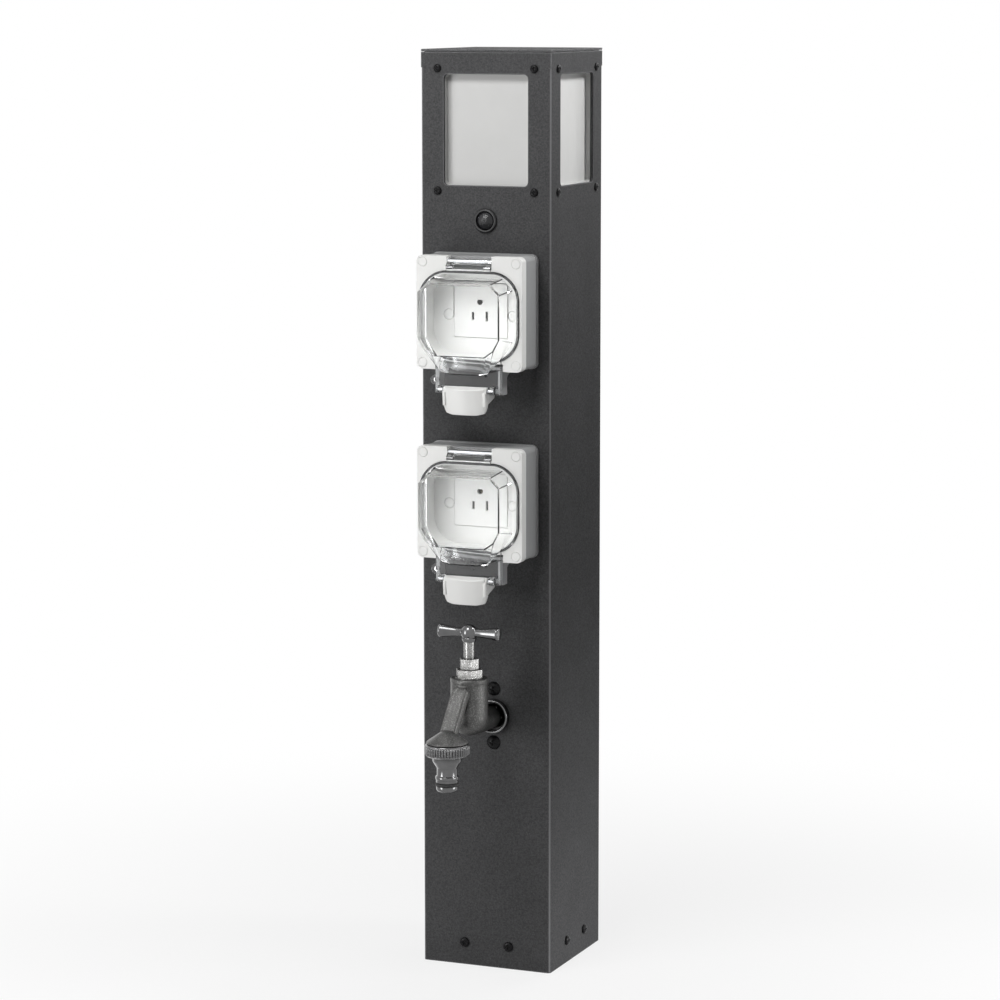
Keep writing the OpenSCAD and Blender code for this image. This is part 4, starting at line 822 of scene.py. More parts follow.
@dataclass(frozen=True)
class ClearMoulding:
    """Clear hood plastic: a wavy skin, hairline wear, and painted shade: a darker tone where it is seen edge
    on.
    """

    tint_and_edge_shade: Colour
    rough: float = 0.02
    edge_shade_share: float = 0.75  # share of the painted shade where the wall is seen edge on
    edge_shade_tone: float = 0.1
    haze: float = 5.0
    haze_tone: float = 0.985
    wave: float = 16.0
    wave_depth: float = 0.05
    hair: float = 0.9
    hair_depth: float = 0.002
    index: float = 1.49
    passes: float = 0.94  # share of the lamps' light that goes through

    def mix(self, name: str) -> bpy.types.Material:
        """Makes the material.

        Args:
            name: the finish in plain words.

        Returns:
            The material.
        """
        r = Recipe(name).set(Transmission_Weight=1.0, IOR=self.index).lit_through(self.passes)
        haze = r.noise(self.haze, detail=3.0, rough=0.6)
        pale = r.blended(haze, self.tint_and_edge_shade, scaled(self.tint_and_edge_shade, self.haze_tone))
        # painted shade: the clear wall is painted darker where it is seen edge on
        tint_and_edge_shade = r.over(pale, scaled(self.tint_and_edge_shade, self.edge_shade_tone), r.slant(), band=(0.6, 0.97), most=self.edge_shade_share)
        rough = r.ranged(haze, (0.45, 0.8), (self.rough, self.rough + 0.05))
        hair = r.bumped(r.noise(self.hair, where=r.stretched((1.0, 0.1, 0.06))), self.hair_depth)
        wave = r.noise(self.wave, detail=1.0, rough=0.4)
        return r.done(tint_and_edge_shade, rough, r.bumped(wave, self.wave_depth, after=hair))


@dataclass(frozen=True)
class Plating:
    """Plated brass: a cast or polished skin, wipe marks, painted shade in its grooves, painted glints, a
    painted reflection where it is seen edge on, and edges lighter by rubbed wear and painted highlight.
    """

    colour: Colour
    rough: float
    spread: float = 0.1  # how much rougher the wipe marks are
    pits: float = 0.02  # depth of the skin's pits
    edge: float = 0.4
    reach: float = 5.0  # width of the grooves and corners that are painted darker: painted shade
    rim_reflection_tone: float = 3.0  # painted reflection: how much lighter the skin is painted where it is seen edge on
    glint_share: float = 0.0  # share of the painted glints of the cast grain
    glint_tone: float = 4.5
    cloud_tone: float = 0.8
    # painted shade: tone of the grooves and corners
    groove_shade_tone: float = 0.12
    # rubbed wear and painted highlight: how much lighter the sharp edges are painted
    wear_and_highlight_tone: float = 2.4

    def mix(self, name: str) -> bpy.types.Material:
        """Makes the material.

        Args:
            name: the finish in plain words.

        Returns:
            The material.
        """
        r = Recipe(name).set(Metallic=1.0)
        wipe = r.noise(2.2, where=r.stretched((1.0, 1.0, 0.2)))
        cloud = r.noise(9.0, detail=3.0, rough=0.6)
        base = r.over(self.colour, scaled(self.colour, self.cloud_tone), cloud, band=(0.3, 0.75))
        # painted glints: bright flecks of the cast grain
        glint_noise = r.noise(1.2, rough=0.6)
        with_glints = r.over(base, scaled(self.colour, self.glint_tone), glint_noise, band=(0.5, 0.66), most=self.glint_share)
        # painted reflection: the skin is painted lighter where it is seen edge on
        sheen = r.over(with_glints, scaled(self.colour, self.rim_reflection_tone), r.slant(), band=(0.5, 0.98))
        # painted shade: grooves and corners are painted darker
        open_share = r.openness(self.reach)
        shaded_in_grooves = r.over(scaled(self.colour, self.groove_shade_tone), sheen, open_share, band=(0.35, 0.95))
        soft = r.soft_edges(self.edge)
        # rubbed wear and painted highlight: sharp edges are painted lighter
        wear_and_highlight_mask = r.edge_share(soft)
        with_lighter_edges = r.over(shaded_in_grooves, scaled(self.colour, self.wear_and_highlight_tone), wear_and_highlight_mask, band=(0.1, 1.0), most=0.8)
        rough = r.ranged(wipe, (0.3, 0.75), (self.rough, self.rough + self.spread))
        return r.done(with_lighter_edges, rough, r.bumped(r.noise(0.9, detail=3.0, rough=0.65), self.pits, after=soft))


@dataclass(frozen=True)
class Galvanised:
    """Zinc-plated steel: pale cells of slightly different gloss."""

    colour: Colour
    rough: float = 0.38
    cell: float = 4.0
    cell_tone: float = 0.86

    def mix(self, name: str) -> bpy.types.Material:
        """Makes the material.

        Args:
            name: the finish in plain words.

        Returns:
            The material.
        """
        r = Recipe(name).set(Metallic=1.0)
        cell = r.cells(self.cell)
        base = r.blended(cell, scaled(self.colour, self.cell_tone), self.colour)
        rough = r.ranged(cell, WHOLE, (self.rough - 0.06, self.rough + 0.1))
        return r.done(base, rough, r.bumped(r.noise(1.2), depth=0.01, after=r.soft_edges(0.3)))


@dataclass(frozen=True)
class BlackFinish:
    """Blackened steel screw: a satin skin with lighter rubbed edges."""

    colour: Colour
    rough: float = 0.26
    edge: float = 0.35
    cloud_tones: Band = (0.8, 1.3)
    bare: Colour = (0.09, 0.09, 0.095)
    index: float = 1.22

    def mix(self, name: str) -> bpy.types.Material:
        """Makes the material.

        Args:
            name: the finish in plain words.

        Returns:
            The material.
        """
        r = Recipe(name).set(IOR=self.index)
        soft = r.soft_edges(self.edge)
        cloud = r.noise(2.4, detail=3.0, rough=0.6)
        base = r.blended(cloud, *(scaled(self.colour, tone) for tone in self.cloud_tones))
        with_lighter_edges = r.over(base, self.bare, r.edge_share(soft), band=(0.2, 1.0), most=0.35)
        rough = r.ranged(cloud, MIDDLE, (self.rough - 0.06, self.rough + 0.1))
        return r.done(with_lighter_edges, rough, r.bumped(r.noise(0.5), depth=0.01, after=soft))


@dataclass(frozen=True)
class Rubber:
    """Soft rubber: a dull, slightly dusty and finely pored skin."""

    colour: Colour
    dust: float = 4.0
    dust_tone: float = 1.6
    gloss: Band = (0.62, 0.78)
    shine: float = 0.35

    def mix(self, name: str) -> bpy.types.Material:
        """Makes the material.

        Args:
            name: the finish in plain words.

        Returns:
            The material.
        """
        r = Recipe(name).set(Specular_IOR_Level=self.shine)
        dust = r.noise(self.dust, detail=3.0, rough=0.6)
        base = r.over(self.colour, scaled(self.colour, self.dust_tone), dust, band=(0.4, 0.8), most=0.6)
        rough = r.ranged(dust, MIDDLE, self.gloss)
        return r.done(base, rough, r.bumped(r.noise(0.3), depth=0.02))


@dataclass(frozen=True)
class Lens:
    """Smoked sensor dome: dark, glossy and coated."""

    colour: Colour
    haze: float = 2.0
    haze_tone: float = 1.5
    gloss: Band = (0.1, 0.2)
    shine: float = 0.3
    coat: float = 0.2
    coat_rough: float = 0.06

    def mix(self, name: str) -> bpy.types.Material:
        """Makes the material.

        Args:
            name: the finish in plain words.

        Returns:
            The material.
        """
        r = Recipe(name).set(Specular_IOR_Level=self.shine)
        r.set(Coat_Weight=self.coat, Coat_Roughness=self.coat_rough)
        haze = r.noise(self.haze)
        base = r.blended(haze, self.colour, scaled(self.colour, self.haze_tone))
        rough = r.ranged(haze, MIDDLE, self.gloss)
        return r.done(base, rough, r.bumped(r.noise(1.1, detail=1.0), depth=0.01))


FINISH_PLAN: dict[str, Finish] = {
    "powder_coat": PowderCoat((0.067, 0.067, 0.0684)),
    "zinc_steel": Galvanised((0.62, 0.63, 0.65)),
    "black_screw": BlackFinish((0.006, 0.006, 0.0065)),
    "opal_plastic": Moulding((0.54, 0.54, 0.532), rough=0.34, depth=0.006, edge=0.6, glow=0.12),
    "gasket_rubber": Rubber((0.03, 0.03, 0.03)),
    "holder_plastic": Moulding((0.72, 0.7, 0.64), rough=0.3),
    "bulb_white": Moulding((0.84, 0.84, 0.82), rough=0.3, depth=0.004, edge=0.2, glow=0.1),
    "sensor_lens": Lens((0.011, 0.011, 0.0125)),
    "sensor_black": Moulding((0.014, 0.014, 0.0145), rough=0.38),
    "box_grey": Moulding((0.3, 0.303, 0.306), rough=0.46, depth=0.02),
    "frame_white": Moulding((0.78, 0.78, 0.765), rough=0.36),
    "seal_grey": Rubber((0.02, 0.02, 0.021)),
    # painted shade: the contacts are darker than clean brass, for the shade deep in the sockets
    "contact_brass": Plating((0.14, 0.11, 0.06), rough=0.34, spread=0.16),
    "clear_plastic": ClearMoulding((0.985, 0.992, 0.995)),
    "tap_nickel": Plating((0.085, 0.0847, 0.083), rough=0.3, spread=0.14, pits=0.24, edge=0.6, reach=7.0,
                          glint_share=0.22),
    "machined_nickel": Plating((0.24, 0.239, 0.234), rough=0.22, pits=0.05, edge=0.5, rim_reflection_tone=2.5,
                               glint_share=0.3),
    "tap_chrome": Plating((0.15, 0.15, 0.1515), rough=0.1, spread=0.08, pits=0.012, reach=6.0,
                          rim_reflection_tone=4.0),
    "pipe_white": Moulding((0.74, 0.74, 0.73), rough=0.42),
    "terminal_grey": Moulding((0.52, 0.53, 0.54), rough=0.48),
    "cable_black": Rubber((0.028, 0.028, 0.029)),
}
FINISHES: dict[str, bpy.types.Material] = {}


def mix_finishes() -> None:
    """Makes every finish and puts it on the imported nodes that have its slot."""
    for name, plan in FINISH_PLAN.items():
        FINISHES[name] = plan.mix(name.replace("_", " "))
    for row in frame["record"]["subparts"]:
        node = frame["nodes"][row["node"]]
        for place in node.material_slots:
            place.material = FINISHES[row["material_slot"]]


# ---- the post ----


class SubAssembly(Protocol):
    """A group of pieces that builds itself."""

    def build(self) -> None:
        """Builds every visible piece of the group."""


@dataclass
class Post:
    """The folded casing with its cap, screws and lamp windows."""

    cap_edge: float = 0.35
    window_edge: float = 0.9
    screw_edge: float = 0.12
    dome_edge: float = 0.15
    screw_crease: float = 40.0

    def build(self) -> None:
        """Rounds the edges of the cap, windows and screws; the sheet keeps its own folds."""
        rounded_copy("post_casing", "folded_casing", edge=0.0)
        rounded_copy("top_cap", "cap_plate", self.cap_edge)
        for side in Side:
            window, opal = f"{side.value}_lamp_window", f"{side.value}_opal_window"
            rounded_copy(window, opal, self.window_edge, segments=3)
        for node, name, edge in (("window_screws", "black_window_screws", self.screw_edge),
                                 ("base_screws", "black_foot_screws", self.screw_edge),
                                 ("tap_screws", "domed_plate_screws", self.dome_edge)):
            rounded_copy(node, name, edge, crease=self.screw_crease)


@dataclass
class Sensor:
    """The motion sensor: a faceted lens in a rounded bezel."""

    height: float = 655.0
    face: float = -60.0
    seat: float = 0.6  # how far the lens's rim stands out from the face
    radius: float = 8.0
    rise: float = 4.6
    rings: int = 5
    facets: int = 12
    relief: float = 0.12
    pole_fade: float = 6.0  # the press comes in over a sixth of the radius from the pole
    rim_fade: float = 12.0  # and goes out over the last twelfth
    ring_edge: float = 0.2

    def build(self) -> None:
        """Builds the lens: a shallow dome h = rise * (1 - t^2), pressed into rings of facets.

        The press is relief * (2 - |sin(pi * rings * t)|^0.5 - |sin(facets * a / 2)|^0.5) at the share t
        of the radius and the angle a, and it fades out at the pole and the rim.
        """
        steps = 96
        t = np.linspace(0.0, 1.0, 41)
        ring = np.abs(np.sin(np.pi * self.rings * t)) ** 0.5
        spoke = np.abs(np.sin(self.facets * angles(steps) / 2)) ** 0.5
        fade = np.clip(t * self.pole_fade, 0.0, 1.0) * np.clip((1 - t) * self.rim_fade, 0.0, 1.0)
        press = self.relief * fade[:, None] * (2 - ring[:, None] - spoke[None])
        height = np.maximum(self.rise * (1 - t**2)[:, None] - press, 0.0)
        flat = (self.radius * t)[:, None, None] * circle(steps)[None]
        local = np.concatenate([flat, height[:, :, None]], axis=-1)
        rows = placed(local, (0.0, self.face - self.seat, self.height), Axis.OUT)
        lens = Surface("faceted_lens").grid(rows, wrap_cols=True)
        lens.faces.append(tuple(range(lens.count - steps, lens.count)))  # the flat back, round the rim
        stand_for(lens.build(), "sensor_dome")
        rounded_copy("sensor_bezel", "sensor_ring", self.ring_edge)


# ---- the outlets ----


@dataclass
class Outlet:
    """One weatherproof outlet: back box, frame, carrier, insert, clear hood and latch.

    Places are up from the outlet's centre and out from the post's face.
    """

    level: Level
    height: float
    face: float = -60.0
    box_edge: float = 0.6
    frame_edge: float = 0.9
    carrier_edge: float = 0.7
    insert_edge: float = 0.35
    hood_edge: float = 1.7
    hood_crease: float = 18.0
    fine_share: float = 0.2  # of the hood's edge, on its rim, barrel and apron
    hood_out: float = 42.0  # the dome starts here
    mouth_up: float = -45.0  # the dome ends here
    latch_top: float = -63.3
    latch_low: float = -85.4
    latch_out: float = 48.2  # at the lower edge
    lean: float = 2.8  # how much further out the top of the sheet stands
    wall: float = 2.4
    bulge: float = 62.0  # radius of the sheet across its width
    curl: float = 0.7  # how far its two sides turn back
    bow: float = 0.9  # how far its middle hangs below its sides
    lift: float = 1.5  # how far its lower corners are drawn up
    lift_from: float = 76.0  # drop at which the lower corners start
    roll: Profile = ((-61.9, 44.4), (-61.6, 46.4), (-61.7, 48.6), (-62.3, 50.2))  # over the barrel
    shoulder: float = -63.4
    sheet: tuple[float, ...] = (-66.0, -70.0, -74.0, -78.0, -82.0, -84.6)
    half_widths: Profile = ((61.6, 17.6), (63.4, 18.0), (67.0, 19.6), (72.0, 20.4), (78.0, 19.8),
                            (83.0, 18.4), (85.4, 17.4))  # at each drop below the centre
    barrel: float = 3.1
    barrel_end: float = 19.8
    barrel_edge: float = 0.4
    pin: float = 1.08
    pin_up: float = -64.5
    pin_out: float = 43.5
    cheek: float = 2.6
    cheek_shape: Profile = ((-68.3, 40.4), (-64.0, 43.5), (-66.0, 48.6), (-78.0, 47.6), (-72.0, 28.6),
                            (-68.3, 26.6))
    latch_edge: float = 0.45

    def origin(self) -> Point:
        """Place of the outlet's centre on the face of the post."""
        return (0.0, self.face, self.height)

    def named(self, what: str) -> str:
        """Name of one of this outlet's nodes or pieces."""
        return f"{self.level.value}_{what}"

    def build(self) -> None:
        """Builds every visible piece of the outlet."""
        rounded_copy(self.named("back_box"), self.named("grey_back_box"), self.box_edge)
        rounded_copy(self.named("front_frame"), self.named("white_frame"), self.frame_edge, segments=3)
        rounded_copy(self.named("socket_carrier"), self.named("white_carrier"), self.carrier_edge)
        rounded_copy(self.named("socket_insert"), self.named("socket_face"), self.insert_edge)
        self.hood()
        self.latch()

    def hood(self) -> None:
        """Rounds the clear lid: its dome by a wide radius, and its rim, barrel and apron by a small one."""
        piece = rounded_copy(self.named("clear_lid"), self.named("clear_hood"), edge=0.0)
        solid = bmesh.new()
        solid.from_mesh(piece.data)
        weight = solid.edges.layers.float.new("bevel_weight_edge")
        for edge in solid.edges:
            middle = (edge.verts[0].co + edge.verts[1].co) / (2 * MM)
            out, up = self.face - middle.y, middle.z - self.height
            if edge.calc_face_angle(0.0) > math.radians(self.hood_crease):
                edge[weight] = 1.0 if out > self.hood_out and up > self.mouth_up else self.fine_share
        solid.to_mesh(piece.data)
        solid.free()
        bevelled(piece, self.hood_edge, segments=4, harden=False).modifiers[-1].limit_method = "WEIGHT"

    def latch(self) -> None:
        """Builds the latch: a bulging sheet that rolls over at the top into its barrel, and two cheeks."""
        face = Surface(self.named("white_latch"))
        face.grid(placed(self.latch_sheet(), self.origin(), Axis.OUT), wrap_cols=True, caps=True)
        end, edge = self.barrel_end, self.barrel_edge
        tube = np.array([[self.pin, -end], [self.barrel - edge, -end], [self.barrel, edge - end],
                         [self.barrel, end - edge], [self.barrel - edge, end], [self.pin, end]])
        x, y, z = self.origin()
        face.revolve(tube, (x, y - self.pin_out, z + self.pin_up), Axis.ACROSS, steps=48, closed=True)
        side = filleted(self.cheek_shape, radius=0.6, steps=4)
        across = np.stack([-side[:, 1], side[:, 0]], axis=-1)
        for start in (-end, end - self.cheek):
            face.prism(across, start, start + self.cheek, self.origin(), Axis.ACROSS, edge=0.3)
        stand_for(bevelled(face.build(), self.latch_edge, angle=50.0), self.named("latch"))

    def latch_sheet(self) -> Array:
        """Works out the latch's sheet, whose middle line runs down the face.

        At the height u and the share v of the half width w(u), a point of the front lies at
        x = v * w(u), at u lowered by the bow and raised at the lower corners, and at the line's
        own distance out less x^2 / (2 * bulge) and curl * |v|^8. The back lies a wall behind it.

        Returns:
            Points of shape (heights, round the sheet, 3).
        """
        roll_up, roll_out = np.array(self.roll).T
        up = np.array([*roll_up, self.shoulder, *self.sheet, self.latch_low])
        top_out = self.latch_out + self.lean
        out = top_out - self.lean * (up - self.latch_top) / (self.latch_low - self.latch_top)
        out[:len(self.roll) + 1] = [*roll_out, top_out]
        v = np.sin(np.linspace(-np.pi / 2, np.pi / 2, 33))
        x = np.interp(-up, *np.array(self.half_widths).T)[:, None] * v[None]
        low = np.clip((-up - self.lift_from) / (-self.latch_low - self.lift_from), 0.0, 1.0) ** 2
        drop = up[:, None] + low[:, None] * self.lift * v[None] ** 2 - self.bow * (1 - v[None] ** 2)
        drop = np.maximum(drop, self.latch_low)
        sag = x**2 / (2 * self.bulge) + self.curl * np.abs(v[None]) ** 8
        front = np.stack([x, drop, out[:, None] - sag], axis=-1)
        along = np.gradient(np.stack([up, out], axis=-1), axis=0)
        along /= np.linalg.norm(along, axis=1, keepdims=True)
        inward = np.stack([np.zeros(len(up)), -along[:, 1], along[:, 0]], axis=-1)
        back = front + inward[:, None, :] * self.wall
        return np.concatenate([front, back[:, ::-1]], axis=1)


# ---- the tap ----


@dataclass
class Tap:
    """The garden tap: cast body, bonnet, gland, handle, hose adapter and wall flange.

    Places are out from the post's face and up from the inlet, and profiles are (radius, height) pairs.
    """

    x: float = 7.0
    inlet: float = 225.5
    face: float = -60.0
    reach: float = 54.0  # the barrel's axis, out from the face
    nose: float = 102.0  # the spout's axis, out from the face
    barrel: float = 16.0
    bowl: float = 9.0  # height of the bowl's centre
    rim: float = 43.5
    lip: Profile = ((0.0, -4.0), (0.3, -3.4), (0.3, -0.9), (-0.4, 0.0))  # beyond the barrel and the rim
    shank: Profile = ((0.0, -19.5), (10.3, -19.5), (10.48, -19.0), (10.48, 1.0), (9.3, 3.6), (9.3, 24.0),
                      (8.9, 34.0), (8.4, 48.0), (0.0, 48.0))
    hexagon: float = 10.6
    hexagon_out: Band = (1.0, 5.6)
    collar: Profile = ((0.0, -1.2), (17.6, -1.2), (17.6, 0.0), (8.4, 6.5), (6.0, 8.0), (3.5, 8.8), (0.0, 9.0))
    collar_up: float = -3.0
    stub: Profile = ((0.0, 0.0), (13.2, 0.0), (13.2, 5.3), (0.0, 5.3))
    stub_up: float = -8.2
    spout: float = 7.8
    flat: float = 2.0
    ridge: float = 1.4
    ridge_sunk: float = 0.7
    spout_high: Band = (66.5, 41.0)
    spout_low: Band = (99.7, 1.4)
    spout_start: float = 3.9  # along the spout from its high end
    spout_round: float = 9.1  # length over which its end rounds off
    ball_up: float = 82.5
    ball: float = 7.1
    hub: Profile = ((0.0, -7.7), (5.6, -7.7), (6.4, -4.7), (0.0, 0.0))
    grip: Profile = ((0.0, 28.0), (4.9, 27.9), (5.8, 26.6), (5.6, 24.8), (4.7, 19.0), (3.9, 12.0),
                     (3.7, 6.0), (3.7, 0.0))
    ring_top: float = -4.5
    ring_foot: float = -14.8
    ring: float = 18.0
    ribs: int = 48
    rib_depth: float = 1.25
    plug: Profile = ((5.5, -45.1), (8.2, -45.1), (9.2, -43.8), (9.2, -40.7), (7.8, -40.7), (7.8, -37.7),
                     (9.4, -37.7), (9.4, -35.2), (9.9, -34.6), (9.9, -32.6), (8.7, -31.6), (8.7, -25.3),
                     (11.8, -20.2), (12.3, -19.2), (12.3, -15.8), (13.2, -14.8), (17.4, -14.8), (18.2, -14.0))
    socket: Profile = ((18.2, -5.3), (17.8, -4.7), (17.2, -4.5), (13.3, -4.5), (13.3, -8.5), (5.5, -8.5))

    def at(self, out: float, up: float) -> Point:
        """Point in the tap's middle plane, out from the post and up from the inlet."""
        return (self.x, self.face - out, self.inlet + up)

    def build(self) -> None:
        """Builds every visible piece of the tap."""
        self.body()
        self.handle()
        self.adapter()
        rounded_copy("tap_bonnet", "bonnet_hexagon", edge=0.5, segments=3, finish="machined_nickel")
        rounded_copy("tap_gland_nut", "gland_hexagon", edge=0.4, segments=3, finish="machined_nickel")
        rounded_copy("tap_spindle", "turned_spindle", edge=0.2, finish="machined_nickel")
        rounded_copy("tap_flange", "wall_flange_ring", edge=0.7, segments=3, finish="tap_chrome")

    def body(self) -> None:
        """Casts the body from parts that run together into one skin.

        They are a turned barrel over a round bowl, (barrel cos a, bowl + barrel sin a), a tapered
        shank with its hexagon, the slanting spout, and a domed collar with its stub.
        """
        cast = Surface("cast_tap_body")
        arc = np.linspace(-np.pi / 2, 0.0, 24)
        bowl = np.stack([self.barrel * np.cos(arc), self.bowl + self.barrel * np.sin(arc)], axis=-1)
        lip = np.array(self.lip) + [self.barrel, self.rim]
        cast.revolve(np.concatenate([bowl, lip, [[0.0, self.rim]]]), self.at(self.reach, 0.0), Axis.UP)
        cast.revolve(np.array(self.shank), self.at(0.0, 0.0), Axis.OUT, steps=72)
        cast.prism(circle(6) * self.hexagon, *self.hexagon_out, self.at(0.0, 0.0), Axis.OUT, edge=0.3)
        self.spout_bar(cast)
        collar = smooth_profile(self.collar, radius=1.2, steps=6)
        cast.revolve(collar, self.at(self.nose, self.collar_up), Axis.UP)
        cast.revolve(np.array(self.stub), self.at(self.nose, self.stub_up), Axis.UP, steps=72)
        stand_for(melted(cast.build(), voxel=0.5, passes=5), "tap_body")

    def spout_bar(self, cast: Surface) -> None:
        """Adds the spout: a round section cut flat in front, with a ridge at each side of the flat.

        The section is a circle whose front is held back to the flat, and the ridges are small round
        bars beside it. All run straight from the barrel down to the collar, and at the distance s
        from the start they are sqrt(1 - (1 - s / round)^2) of their full size.

        Args:
            cast: the casting that the spout is part of.
        """
        high, low = np.array(self.spout_high), np.array(self.spout_low)
        length = float(np.hypot(*(low - high)))
        along = (low - high) / length
        front = np.array([-along[1], along[0]])
        bar = circle(96) * self.spout
        bar[:, 1] = np.minimum(bar[:, 1], self.flat)
        ridge = circle(20) * self.ridge
        beside = np.array([self.spout - self.ridge, self.flat - self.ridge_sunk])
        s = np.concatenate([np.linspace(4.0, 13.0, 16), np.linspace(14.0, length + 1.0, 24)])[:, None]
        size = np.sqrt(1 - (1 - np.clip((s - self.spout_start) / self.spout_round, 0, 1)) ** 2)
        for section in (bar, ridge + beside * [-1, 1], ridge + beside):
            lift = section[None, :, 1] * size
            out = high[0] + s * along[0] + lift * front[0]
            up = high[1] + s * along[1] + lift * front[1]
            rows = np.stack([self.x + section[None, :, 0] * size, self.face - out, self.inlet + up], axis=-1)
            cast.grid(rows, wrap_cols=True, caps=True)

    def handle(self) -> None:
        """Turns the bar handle about its own length, with flared ends, and runs it into the ball."""
        grip = Surface("t_bar_handle")
        half = smooth_profile(self.grip, radius=1.6, steps=6)
        profile = np.concatenate([half, (half * [1.0, -1.0])[::-1][1:]])
        middle = self.at(self.reach, self.ball_up)
        grip.revolve(profile, middle, Axis.ACROSS, steps=64)
        arc = np.linspace(-np.pi / 2, np.pi / 2, 40)
        ball = np.stack([self.ball * np.cos(arc), self.ball * np.sin(arc)], axis=-1)
        grip.revolve(ball, middle, Axis.UP, steps=72)
        grip.revolve(np.array(self.hub), middle, Axis.UP, steps=48)
        stand_for(melted(grip.build(), voxel=0.3, passes=2), "tap_handle")

    def adapter(self) -> None:
        """Turns the hose adapter in one closed profile, whose ring swells into ribs.

        In the ribbed band the radius gains rib_depth * |sin(ribs * a / 2)|^0.6 at the angle a, and
        the ribs fade out over the last millimetre above and below.
        """
        steps = 480
        plug = smooth_profile(self.plug, radius=0.35, steps=3)
        height = np.linspace(self.ring_foot + 1.0, self.ring_top - 1.4, 14)
        band = np.stack([np.full(len(height), self.ring), height], axis=-1)
        fade = np.clip(height - self.ring_foot - 0.9, 0, 1) * np.clip(self.ring_top - 1.3 - height, 0, 1)
        share = np.concatenate([np.zeros(len(plug)), fade, np.zeros(len(self.socket))])
        rib = self.rib_depth * np.abs(np.sin(self.ribs * angles(steps) / 2)) ** 0.6
        made = Surface("ribbed_hose_adapter")
        made.revolve(np.concatenate([plug, band, self.socket]), self.at(self.nose, 0.0), Axis.UP, steps,
                     closed=True, radial=share[:, None] * rib)
        stand_for(made.build(), "hose_adapter")


# ---- studio ----


@dataclass
class Lamp:
    """One soft rectangular studio light, in metres, watts and degrees."""

    name: str
    place: Point
    aim: Point
    size: Band
    power: float
    spread: float = 180.0

    def hang(self) -> None:
        """Puts the light in the scene, pointing at its aim."""
        data = bpy.data.lights.new(self.name, "AREA")
        data.shape = "RECTANGLE"
        data.size, data.size_y = self.size
        data.energy = self.power
        data.spread = math.radians(self.spread)
        made = bpy.data.objects.new(self.name, data)
        made.location = self.place
        made.rotation_euler = (Vector(self.aim) - Vector(self.place)).to_track_quat("-Z", "Y").to_euler()
        bpy.context.scene.collection.objects.link(made)


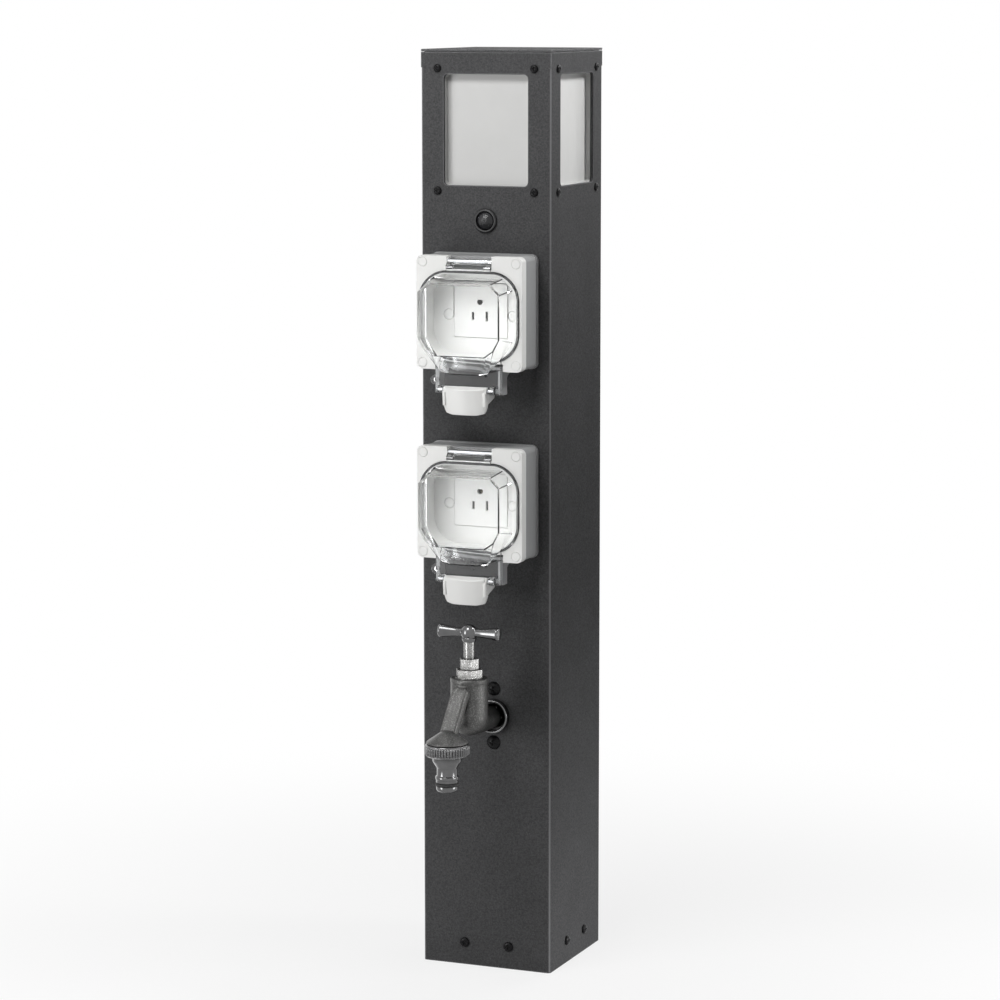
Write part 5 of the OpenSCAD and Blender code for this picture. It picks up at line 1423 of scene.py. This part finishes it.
@dataclass
class Studio:
    """White backdrop, pale floor, soft lights and the camera at the photograph's angle."""

    azimuth: float = 22.596
    pitch: float = 8.263
    roll: float = -0.0315
    aside: float = -0.011032  # metres to the right of the post's axis, where the camera aims
    above: float = 0.406356  # metres above the ground, where the camera aims
    distance: float = 3.083997  # metres from there to the camera
    lens: float = 126.401
    sensor: float = 36.0
    ambient: float = 0.09  # strength of the backdrop where it lights the object
    floor_half: float = 6000.0
    floor_grey: float = 0.8
    fade: Band = (0.08, 0.9)  # metres from the post over which the floor turns plain white
    lamps: list[Lamp] = field(default_factory=lambda: [
        Lamp("high front light", (-0.15, -1.15, 1.65), (0.0, -0.06, 0.74), (0.7, 0.5), 6.5),
        Lamp("near top light", (-0.1, -0.5, 1.17), (0.0, -0.06, 0.79), (0.35, 0.2), 2.2),
        Lamp("left window light", (-1.1, -1.5, 0.55), (0.0, -0.1, 0.45), (0.8, 1.3), 9.4),
        Lamp("low left light", (-0.48, -0.78, 0.24), (0.0, -0.16, 0.2), (0.17, 0.42), 1.4),
        Lamp("right strip light", (1.6, 0.2, 0.45), (0.0, -0.1, 0.4), (0.6, 1.0), 0.5),
        Lamp("high right light", (0.8, 0.25, 1.35), (0.06, 0.0, 0.95), (0.3, 0.3), 1.8, 60.0),
        Lamp("low right light", (0.9, 0.1, 0.15), (0.06, 0.0, -0.12), (0.5, 0.3), 1.0, 60.0),
        Lamp("back light", (0.5, 2.3, 1.9), (0.0, 0.0, 0.5), (1.4, 1.0), 20.0),
    ])

    def build(self) -> None:
        """Sets up the whole studio."""
        bpy.context.scene.view_settings.view_transform = "Standard"
        self.world()
        self.floor()
        for lamp in self.lamps:
            lamp.hang()
        self.camera()

    def world(self) -> None:
        """Makes the world white where it is seen, and a soft grey where it lights."""
        world = bpy.data.worlds.new("white backdrop")
        bpy.context.scene.world = world
        world.use_nodes = True
        w = Wiring(world.node_tree)
        back = w.node("ShaderNodeBackground")
        back.inputs["Color"].default_value = (1.0, 1.0, 1.0, 1.0)
        w.link(w.ranged(w.seen_directly(), WHOLE, (self.ambient, 1.0)), back.inputs["Strength"])
        w.link(back.outputs["Background"], w.node("ShaderNodeOutputWorld").inputs["Surface"])

    def floor(self) -> None:
        """Lays the pale floor: near the post it takes a soft shadow, and further out it is plain white."""
        square = np.array([[-1.0, -1.0, 0.0], [1.0, -1.0, 0.0], [1.0, 1.0, 0.0], [-1.0, 1.0, 0.0]])
        made = Surface("pale_floor").add(square * self.floor_half, [(0, 1, 2, 3)]).build()
        material = bpy.data.materials.new("pale floor")
        material.use_nodes = True
        w = Wiring(material.node_tree)
        diffuse = w.node("ShaderNodeBsdfDiffuse")
        grey = self.floor_grey
        diffuse.inputs["Color"].default_value = (grey, grey, grey, 1.0)
        far = w.node("ShaderNodeVectorMath", operation="LENGTH")
        w.link(w.node("ShaderNodeTexCoord").outputs["Object"], far.inputs[0])
        fade = w.ranged(far.outputs["Value"], self.fade, (grey, 1.0), smooth=True)
        mix = w.node("ShaderNodeMixShader")
        w.link(w.sum(Sum.PRODUCT, w.seen_directly(), fade), mix.inputs[0])
        w.link(diffuse.outputs[0], mix.inputs[1])
        w.link(w.node("ShaderNodeEmission").outputs[0], mix.inputs[2])
        w.link(mix.outputs[0], w.node("ShaderNodeOutputMaterial").inputs["Surface"])
        made.data.materials.append(material)

    def camera(self) -> None:
        """Stands the camera where the photograph was taken from."""
        a, e, r = (math.radians(v) for v in (self.azimuth, self.pitch, self.roll))
        back = Vector((math.sin(a) * math.cos(e), -math.cos(a) * math.cos(e), math.sin(e)))
        right = Vector((math.cos(a), math.sin(a), 0.0))
        up = back.cross(right)
        right, up = right * math.cos(r) + up * math.sin(r), up * math.cos(r) - right * math.sin(r)
        target = Vector((math.cos(a) * self.aside, math.sin(a) * self.aside, self.above))
        data = bpy.data.cameras.new("photo camera")
        data.lens = self.lens
        data.sensor_width = self.sensor
        made = bpy.data.objects.new("photo camera", data)
        turn = Matrix((right, up, back)).transposed().to_4x4()
        made.matrix_world = Matrix.Translation(target + back * self.distance) @ turn
        bpy.context.scene.collection.objects.link(made)
        bpy.context.scene.camera = made


def main() -> None:
    """Builds the studio and every finished piece in order."""
    Studio().build()
    mix_finishes()
    parts: list[SubAssembly] = [
        Post(), Sensor(), Outlet(Level.UPPER, 578.7), Outlet(Level.LOWER, 415.7), Tap()]
    for part in parts:
        part.build()
        log.info("%s is built", type(part).__name__.lower())


if __name__ == "__main__":
    main()
